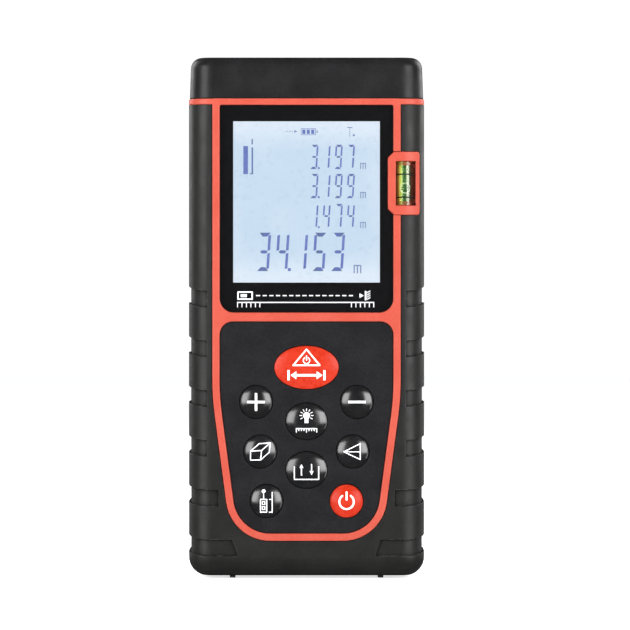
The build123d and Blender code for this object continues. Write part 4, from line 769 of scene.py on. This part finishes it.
def raised(name, shapes, place, material, body, thickness=PRINT_T, step=0.0):
    """A closed, thin piece with the outline of shapes, in mm, put on a surface by place(x, z, lift)."""
    sunk = -thickness / 3
    points, triangles = join_shapes(shapes, step)
    used = sorted({i for t in triangles for i in t})
    mesh = bmesh.new()
    top = {i: mesh.verts.new(place(points[i].x, points[i].y, thickness)) for i in used}
    low = {i: mesh.verts.new(place(points[i].x, points[i].y, sunk)) for i in used}
    sides = set()
    for t in triangles:
        mesh.faces.new([top[i] for i in t])
        mesh.faces.new([low[i] for i in reversed(t)])
        for a, b in zip(t, t[1:] + t[:1]):
            if (b, a) in sides:
                sides.remove((b, a))
            else:
                sides.add((a, b))
    for a, b in sides:
        mesh.faces.new([top[b], top[a], low[a], low[b]])
    data = bpy.data.meshes.new(name)
    mesh.to_mesh(data)
    mesh.free()
    data.polygons.foreach_set("use_smooth", [True] * len(data.polygons))
    data.set_sharp_from_angle(angle=math.radians(35))
    data.materials.append(material)
    piece = bpy.data.objects.new(name, data)
    bpy.context.scene.collection.objects.link(piece)
    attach(piece, body)


def on_front(x, y, z):
    """Place graphics on a face that looks to the front; x and z are measured from this point."""
    return lambda u, v, lift: (x + u * MM, y - lift * MM, z + v * MM)


def on_back(x, y, z):
    """Place graphics on a face that looks to the back, as read from behind."""
    return lambda u, v, lift: (x - u * MM, y + lift * MM, z + v * MM)


# ================================================================ display
def digit(character, x, z, width, height, upright, level):
    """(uprights, levels): the polygons of a seven-segment digit whose lower left corner is x, z."""
    uprights, levels = [], []
    mid = height / 2
    gap = 0.055 * height
    slope = 0.3 * gap  # the ends of the uprights
    inset = 0.12  # the top and bottom bars stop this far from the sides
    cut = 0.85 * level
    for letter in SEGMENTS[character]:
        if letter in "bcef":
            left = 0 if letter in "ef" else width - upright
            right = left + upright
            low = gap if letter in "ce" else mid + 0.5 * gap
            high = mid - 0.5 * gap if letter in "ce" else height - gap
            uprights.append([(left, low), (right, low + slope), (right, high), (left, high - slope)])
        elif letter == "g":
            a, b = 0.85 * upright, width - 0.85 * upright
            h = 0.4 * level
            low, high = mid - h, mid + h
            levels.append([(a, mid), (a + h, low), (b - h, low), (b, mid), (b - h, high), (a + h, high)])
        else:
            outer, inner = (height, height - level) if letter == "a" else (0, level)
            a, b = inset, width - inset
            levels.append([(a, outer), (b, outer), (b - cut, inner), (a + cut, inner)])
    return slanted(uprights, x, z), slanted(levels, x, z)


def slanted(shapes, x, z):
    """The shapes moved to x, z and leaning to the right."""
    return [[(x + u + SLANT * v, z + v) for u, v in shape] for shape in shapes]


def number(text, z, left, pitch, width, height, upright, level, point_after):
    """A row of digits with a decimal point."""
    uprights, levels = [], []
    for place, character in enumerate(text):
        tall, flat = digit(character, left + place * pitch, z, width, height, upright, level)
        uprights += tall
        levels += flat
    dot = left + point_after * pitch - (pitch - width) / 2 - upright
    size = 1.15 * upright
    uprights.append(bar(dot, z, dot + size, z + size))
    return uprights, levels


def metre_sign(x, z, width, height, line):
    """The unit after a number."""
    legs = [bar(left, z, left + line, z + height) for left in (x, x + (width - line) / 2, x + width - line)]
    return legs + [bar(x, z + height - line, x + width, z + height)]


def battery_sign():
    """A case with a nub and three bars in it."""
    bars = [bar(-0.95 + i, 33.65, -0.25 + i, 34.65) for i in range(3)]
    case = stroke(bar(-1.2, 33.45, 2.05, 34.85), 0.12, closed=True)
    return bars + case + [bar(2.3, 33.85, 2.5, 34.45)]


def beam_sign():
    """Four dashes and an arrow head."""
    pitch, dash = 0.55, 0.28
    dashes = [bar(-5.0 + pitch * i, 34.15, -5.0 + pitch * i + dash, 34.3) for i in range(4)]
    return dashes + [[(-2.75, 33.85), (-2.1, 34.22), (-2.75, 34.6)]]


def signal_sign():
    """A mast of four dots under a cross bar, and a larger dot beside it."""
    dots = [bar(9.65, 33.1 + 0.5 * i, 9.9, 33.35 + 0.5 * i) for i in range(4)]
    return [bar(9.2, 35.0, 10.4, 35.2)] + dots + [disc(10.7, 33.35, 0.26)]


def display():
    """Digits and symbols of the liquid crystal, standing on its glass under the window."""
    mask_lo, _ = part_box("window_mask")
    glass_lo, glass_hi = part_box("lcd_glass")
    place = on_front((glass_lo.x + glass_hi.x) / 2, glass_lo.y, mask_lo.z + APERTURE_UP * MM)
    uprights, levels, units = [], [], []
    for text, z in SMALL_ROWS:
        tall, flat = number(text, z, point_after=1, **SMALL_DIGIT)
        uprights += tall
        levels += flat
        units += metre_sign(z=z, **SMALL_UNIT)
    text, z = LARGE_ROW
    tall, flat = number(text, z, point_after=2, **LARGE_DIGIT)
    uprights += tall
    levels += flat
    units += metre_sign(**LARGE_UNIT)
    gauge = [bar(-14.3, 24.55, -13.25, 30.9)]
    rule = [bar(-12.45, 24.55, -12.1, 30.6), bar(-12.45, 31.3, -12.15, 32.5)]
    rule.append(bar(-12.8, 24.5, -12.1, 24.75))
    blue = segment("lcd_blue", SEGMENT_BLUE, SEGMENT_LIGHT).material
    grey = segment("lcd_grey", SEGMENT_GREY, SEGMENT_BLUE).material
    faint = segment("lcd_faint", SEGMENT_FAINT, SEGMENT_FAINTER).material
    for name, shapes, material in (
        ("lcd_uprights", uprights, blue),
        ("lcd_levels", levels, grey),
        ("lcd_units", units, faint),
        ("lcd_battery", battery_sign(), blue),
        ("lcd_beam", beam_sign(), faint),
        ("lcd_signal", signal_sign(), faint),
        ("lcd_gauge", gauge, blue),
        ("lcd_rule", rule, grey),
    ):
        raised(name, shapes, place, material, HOUSING)


def ruler_print(material):
    """White graphic on the window's lower border: a beam from a small meter to a target, over a scale."""
    mask_lo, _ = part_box("window_mask")
    place = on_front(0, mask_lo.y, mask_lo.z)
    left, right = -15.7, 15.3
    tick, pitch, comb_width = 0.18, 1.01, 5.22
    scale = [bar(left, 2.15, right, 2.37)]
    for start in (left, right - comb_width):
        scale += [bar(start + pitch * i, 1.15, start + pitch * i + tick, 2.2) for i in range(6)]
    meter = stroke(bar(left + 0.2, 3.0, left + 3.4, 4.6), 0.3, closed=True)
    meter.append(bar(left + 0.8, 3.45, left + 2.2, 4.15))
    beam = [bar(left + 4.3 + 1.5 * i, 3.68, left + 5.2 + 1.5 * i, 3.92) for i in range(15)]
    target = [bar(right - 2.1, 2.75, right - 1.75, 4.85)]
    for i in range(4):
        target += stroke([(right - 1.6, 2.95 + 0.5 * i), (right - 0.9, 3.35 + 0.5 * i)], 0.16)
    head = [[(right - 3.3, 3.3), (right - 2.35, 3.8), (right - 3.3, 4.3)]]
    raised("border_scale", scale + meter + beam + target + head, place, material, HOUSING)


def label_print():
    """The rear label: a border, the meter from the front, a measurement, empty fields and the two cells."""
    lo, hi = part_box("rear_label")
    middle = (lo + hi) / 2
    border = stroke(bar(-14.2, -13.7, 14.2, 13.7), 0.25, closed=True)
    front = stroke(bar(-11.2, 4.6, -6.8, 10.8), 0.3, closed=True)
    front.append(bar(-10.5, 7.9, -7.5, 10.1))
    front += [disc(-10.1 + 1.1 * i, 5.9 + 1.0 * k, 0.28) for i in range(3) for k in range(2)]
    side = stroke(bar(-4.2, 5.9, -1.9, 9.5), 0.3, closed=True)
    arrow = [bar(-1.6, 7.3, 5.0, 8.1), [(5.0, 6.5), (7.2, 7.7), (5.0, 8.9)], bar(8.2, 5.6, 8.6, 9.8)]
    fields = [bar(-12.6, 3.0, 12.6, 3.2)]
    for row, reach in enumerate((13.5, 11.0, 12.4, 8.2)):
        level = 0.6 - 2.9 * row
        fields.append(bar(-12.6, level, -12.6 + reach, level + 0.32))
    cells = []
    for left, nub in ((5.6, -4.55), (8.8, -10.55)):
        cells += stroke(bar(left, -10.2, left + 2.0, -4.9), 0.26, closed=True)
        cells.append(bar(left + 0.6, nub - 0.3, left + 1.4, nub + 0.3))
    place = on_back(middle.x, hi.y, middle.z)
    shapes = border + front + arrow + side + fields + cells
    raised("label_print", shapes, place, vial_black().material, HOUSING, thickness=LABEL_PRINT_T)


def cover_marks():
    """Arrow and grip ribs moulded on the battery cover, under its latch."""
    latch_lo, latch_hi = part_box("cover_latch")
    _, cover_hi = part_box("battery_cover")
    place = on_back((latch_lo.x + latch_hi.x) / 2, cover_hi.y, latch_lo.z)
    head = [[(-2.6, -3.6), (2.6, -3.6), (0.0, -6.6)]]
    ribs = [bar(-4.2 + 0.35 * i, -9.2 - 1.5 * i, 4.2 - 0.35 * i, -8.5 - 1.5 * i) for i in range(5)]
    material = black_plastic().material
    raised("cover_arrow", head + ribs, place, material, "battery_cover", thickness=RIB_T)


# ================================================================ keys
def measure_symbol():
    """A switch sign in a triangle, over an arrow that spans two lines."""
    outline = stroke([(-3.0, 0.5), (3.0, 0.5), (0.0, 4.1)], 0.34, closed=True)
    switch = switch_sign(1.60, 0.72, low=0.05, high=1.05, line=0.26)
    span = [bar(-4.3, -2.9, -3.8, -0.6), bar(3.8, -2.9, 4.3, -0.6), bar(-2.6, -2.02, 2.6, -1.48)]
    heads = [[(-3.6, -1.75), (-2.3, -2.65), (-2.3, -0.85)], [(3.6, -1.75), (2.3, -0.85), (2.3, -2.65)]]
    return outline + switch + span + heads


def switch_sign(z, radius, low, high, line):
    """Ring open at the top with an upright in the gap, from low to high above the ring's middle."""
    return stroke(arc(0, z, radius, 125, 415), line) + stroke([(0, z + low), (0, z + high)], line)


def plus_symbol():
    return [bar(-2.0, -0.27, 2.0, 0.27), bar(-0.27, -2.0, 0.27, 2.0)]


def minus_symbol():
    return [bar(-2.0, -0.27, 2.0, 0.27)]


def light_symbol():
    """A lamp with rays, over a ruler."""
    lamp_z, rays_from, rays_to = 1.35, 1.08, 1.5
    bulb = [disc(0, lamp_z, 0.78), bar(-0.42, -0.35, 0.42, 0.9)]
    rays = []
    for i in range(9):
        turn = math.radians(-30 + 30 * i)
        across, up = math.cos(turn), math.sin(turn)
        rays += stroke([(r * across, lamp_z + r * up) for r in (rays_from, rays_to)], 0.17)
    rule = [bar(-2.4, -1.72, 2.4, -1.5)]
    for i in range(9):
        reach = 2.5 if i % 4 == 0 else 2.15
        rule.append(bar(-2.4 + 0.575 * i, -reach, -2.2 + 0.575 * i, -1.6))
    return bulb + rays + rule


def volume_symbol():
    """A box: its front, and the edges that show of its back, shifted up and to the right."""
    line = 0.22
    front = [(-2.2, -1.95), (-2.2, 0.1), (0.3, 0.25), (0.1, -1.85)]
    back = [(x + 1.95, z + 1.7) for x, z in front]
    lines = stroke(front, line, closed=True)
    lines += stroke([front[1], back[1], back[2], front[2]], line, closed=True)
    return lines + stroke([front[3], back[3], back[2]], line)


def triangle_symbol():
    """A triangle on its side with its height drawn in."""
    outline = stroke([(-2.0, -0.05), (1.7, 1.8), (1.7, -1.8)], 0.22, closed=True)
    return outline + stroke([(-2.0, -0.05), (1.7, -0.05)], 0.18)


def memory_symbol():
    """A tray with an arrow out of it and one into it."""
    line = 0.24
    tray = stroke([(-2.75, 0.75), (-2.75, -2.1), (2.75, -2.1), (2.75, 0.75)], line)
    up = stroke([(-1.15, -1.1), (-1.15, 0.6)], line) + [[(-1.6, 0.5), (-0.7, 0.5), (-1.15, 1.35)]]
    down = stroke([(1.15, 1.3), (1.15, -0.2)], line) + [[(1.6, -0.2), (1.15, -1.1), (0.7, -0.2)]]
    return tray + up + down


def reference_symbol():
    """The meter with its beam, and a bracket from its base to its top."""
    line, thin = 0.24, 0.2
    case = stroke(bar(-1.35, -2.5, 0.05, 0.4), line, closed=True)
    case += stroke(bar(-0.95, -1.9, -0.35, -1.25), thin, closed=True)
    case += stroke(bar(-0.95, -0.75, -0.35, -0.1), thin, closed=True)
    pointer = stroke([(-0.65, 0.5), (-0.65, 2.1)], thin) + [disc(-0.65, 2.25, 0.42)]
    bracket = stroke([(0.65, -2.5), (1.3, -2.5), (1.3, 2.0)], 0.22) + stroke([(0.65, 0.4), (1.3, 0.4)], thin)
    return case + pointer + bracket


def power_symbol():
    return switch_sign(-0.15, 1.65, low=0.50, high=2.15, line=0.42)


KEY_SYMBOLS = {
    "key_measure": measure_symbol,
    "key_plus": plus_symbol,
    "key_minus": minus_symbol,
    "key_light": light_symbol,
    "key_volume": volume_symbol,
    "key_triangle": triangle_symbol,
    "key_memory": memory_symbol,
    "key_reference": reference_symbol,
    "key_power": power_symbol,
}
KEY_LIP = 0.7 * MM  # the retaining flange reaches this far past the dome
DOME_SPREAD = 1.12  # the dome is part of an ellipsoid this much wider than the key
DOME_DEPTH = 1.8195 * MM  # from the crown to the ellipsoid's middle


def on_dome(key):
    """Place graphics on a key's crown, measured from its middle."""
    lo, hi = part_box(key)
    middle = (lo + hi) / 2
    wide = DOME_SPREAD * ((hi.x - lo.x) / 2 - KEY_LIP)
    tall = DOME_SPREAD * ((hi.z - lo.z) / 2 - KEY_LIP)

    def place(u, v, lift):
        across, up = u * MM / wide, v * MM / tall
        deep = DOME_DEPTH * math.sqrt(max(0.0, 1 - across * across - up * up))
        return (middle.x + u * MM, lo.y + DOME_DEPTH - deep - lift * MM, middle.z + v * MM)

    return place


def key_prints(material):
    for key, symbol in KEY_SYMBOLS.items():
        raised("print_" + key, symbol(), on_dome(key), material, key, step=BEND_STEP)


# ================================================================ stage
def floor():
    """Wide pale floor."""
    half = 4.0
    mesh = bpy.data.meshes.new("floor")
    corners = [(-half, -half, 0), (half, -half, 0), (half, half, 0), (-half, half, 0)]
    mesh.from_pydata(corners, [], [(0, 1, 2, 3)])
    made = Finish("floor_paper", Roughness=0.7)
    made.feed("Specular IOR Level", 0.0)
    made.feed("Base Color", made.mix(made.noise(60 * MM, 3), (0.88, 0.88, 0.88), (0.92, 0.92, 0.92)))
    made.feed("Emission Color", (1, 1, 1))
    made.feed("Emission Strength", 0.68)
    mesh.materials.append(made.material)
    piece = bpy.data.objects.new("floor", mesh)
    piece.visible_glossy = False
    bpy.context.scene.collection.objects.link(piece)


def softbox(name, azimuth, elevation, distance, width, height, power, target):
    """Area light aimed at target. Azimuth 0 is in front, positive to the right; hidden from the camera."""
    turn, lift = math.radians(azimuth), math.radians(elevation)
    away = Vector((math.sin(turn) * math.cos(lift), -math.cos(turn) * math.cos(lift), math.sin(lift)))
    data = bpy.data.lights.new(name, "AREA")
    data.shape = "RECTANGLE"
    data.size = width
    data.size_y = height
    data.energy = power
    light = bpy.data.objects.new(name, data)
    light.location = target + away * distance
    light.rotation_euler = away.to_track_quat("Z", "Y").to_euler()
    light.visible_camera = False
    bpy.context.scene.collection.objects.link(light)
    return light


def world():
    """White to the camera, a grey fill for open surfaces, and dark in mirror images."""
    fill, in_mirrors, to_camera = 0.35, 0.10, 1.05
    made = bpy.data.worlds.new("studio")
    made.use_nodes = True
    tree = made.node_tree
    ray = tree.nodes.new("ShaderNodeLightPath").outputs
    result = tree.nodes["Background"].outputs[0]
    tree.nodes["Background"].inputs["Color"].default_value = (0.96, 0.98, 1.0, 1)
    tree.nodes["Background"].inputs["Strength"].default_value = fill
    for share, strength in ((ray["Is Glossy Ray"], in_mirrors), (ray["Is Camera Ray"], to_camera)):
        other = tree.nodes.new("ShaderNodeBackground")
        other.inputs["Color"].default_value = (1, 1, 1, 1)
        other.inputs["Strength"].default_value = strength
        mix = tree.nodes.new("ShaderNodeMixShader")
        tree.links.new(share, mix.inputs[0])
        tree.links.new(result, mix.inputs[1])
        tree.links.new(other.outputs[0], mix.inputs[2])
        result = mix.outputs[0]
    tree.links.new(result, tree.nodes["World Output"].inputs["Surface"])
    bpy.context.scene.world = made
    bpy.context.scene.view_settings.view_transform = "Standard"


def camera():
    """Level, square to the display, through a long lens."""
    front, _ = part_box("front_casing")
    aim_x, aim_z = 1.92 * MM, 59.66 * MM
    view_width, lens_length, sensor = 0.1424, 300, 36
    data = bpy.data.cameras.new("camera")
    data.lens = lens_length
    data.sensor_width = sensor
    data.clip_end = 50
    eye = bpy.data.objects.new("camera", data)
    eye.location = (aim_x, front.y - view_width * lens_length / sensor, aim_z)
    eye.rotation_euler = (math.radians(90), 0, 0)
    bpy.context.scene.collection.objects.link(eye)
    bpy.context.scene.camera = eye


def lights():
    """Softboxes at both sides, in front and behind, a wide one overhead and a slim one low at the right."""
    middle = Vector((0, 0, 60 * MM))
    front = {"elevation": 12, "distance": 1.0, "width": 0.60, "height": 0.66, "target": middle}
    rear = {"elevation": 20, "distance": 1.2, "width": 0.7, "height": 0.7, "power": 8, "target": middle}
    softbox("front_left", -43, power=8.0, **front)
    softbox("front_right", 43, power=9.0, **front)
    overhead = softbox("overhead", 0, 80, distance=1.2, width=1.2, height=1.2, power=10, target=middle)
    overhead.visible_glossy = False
    softbox("low_right", 62, -14, distance=1.1, width=0.15, height=0.5, power=0.8, target=middle)
    softbox("rear_left", -130, **rear)
    softbox("rear_right", 130, **rear)


dress_nodes()
display()
paint = white_print().material
ruler_print(paint)
key_prints(paint)
label_print()
cover_marks()
floor()
world()
lights()
camera()
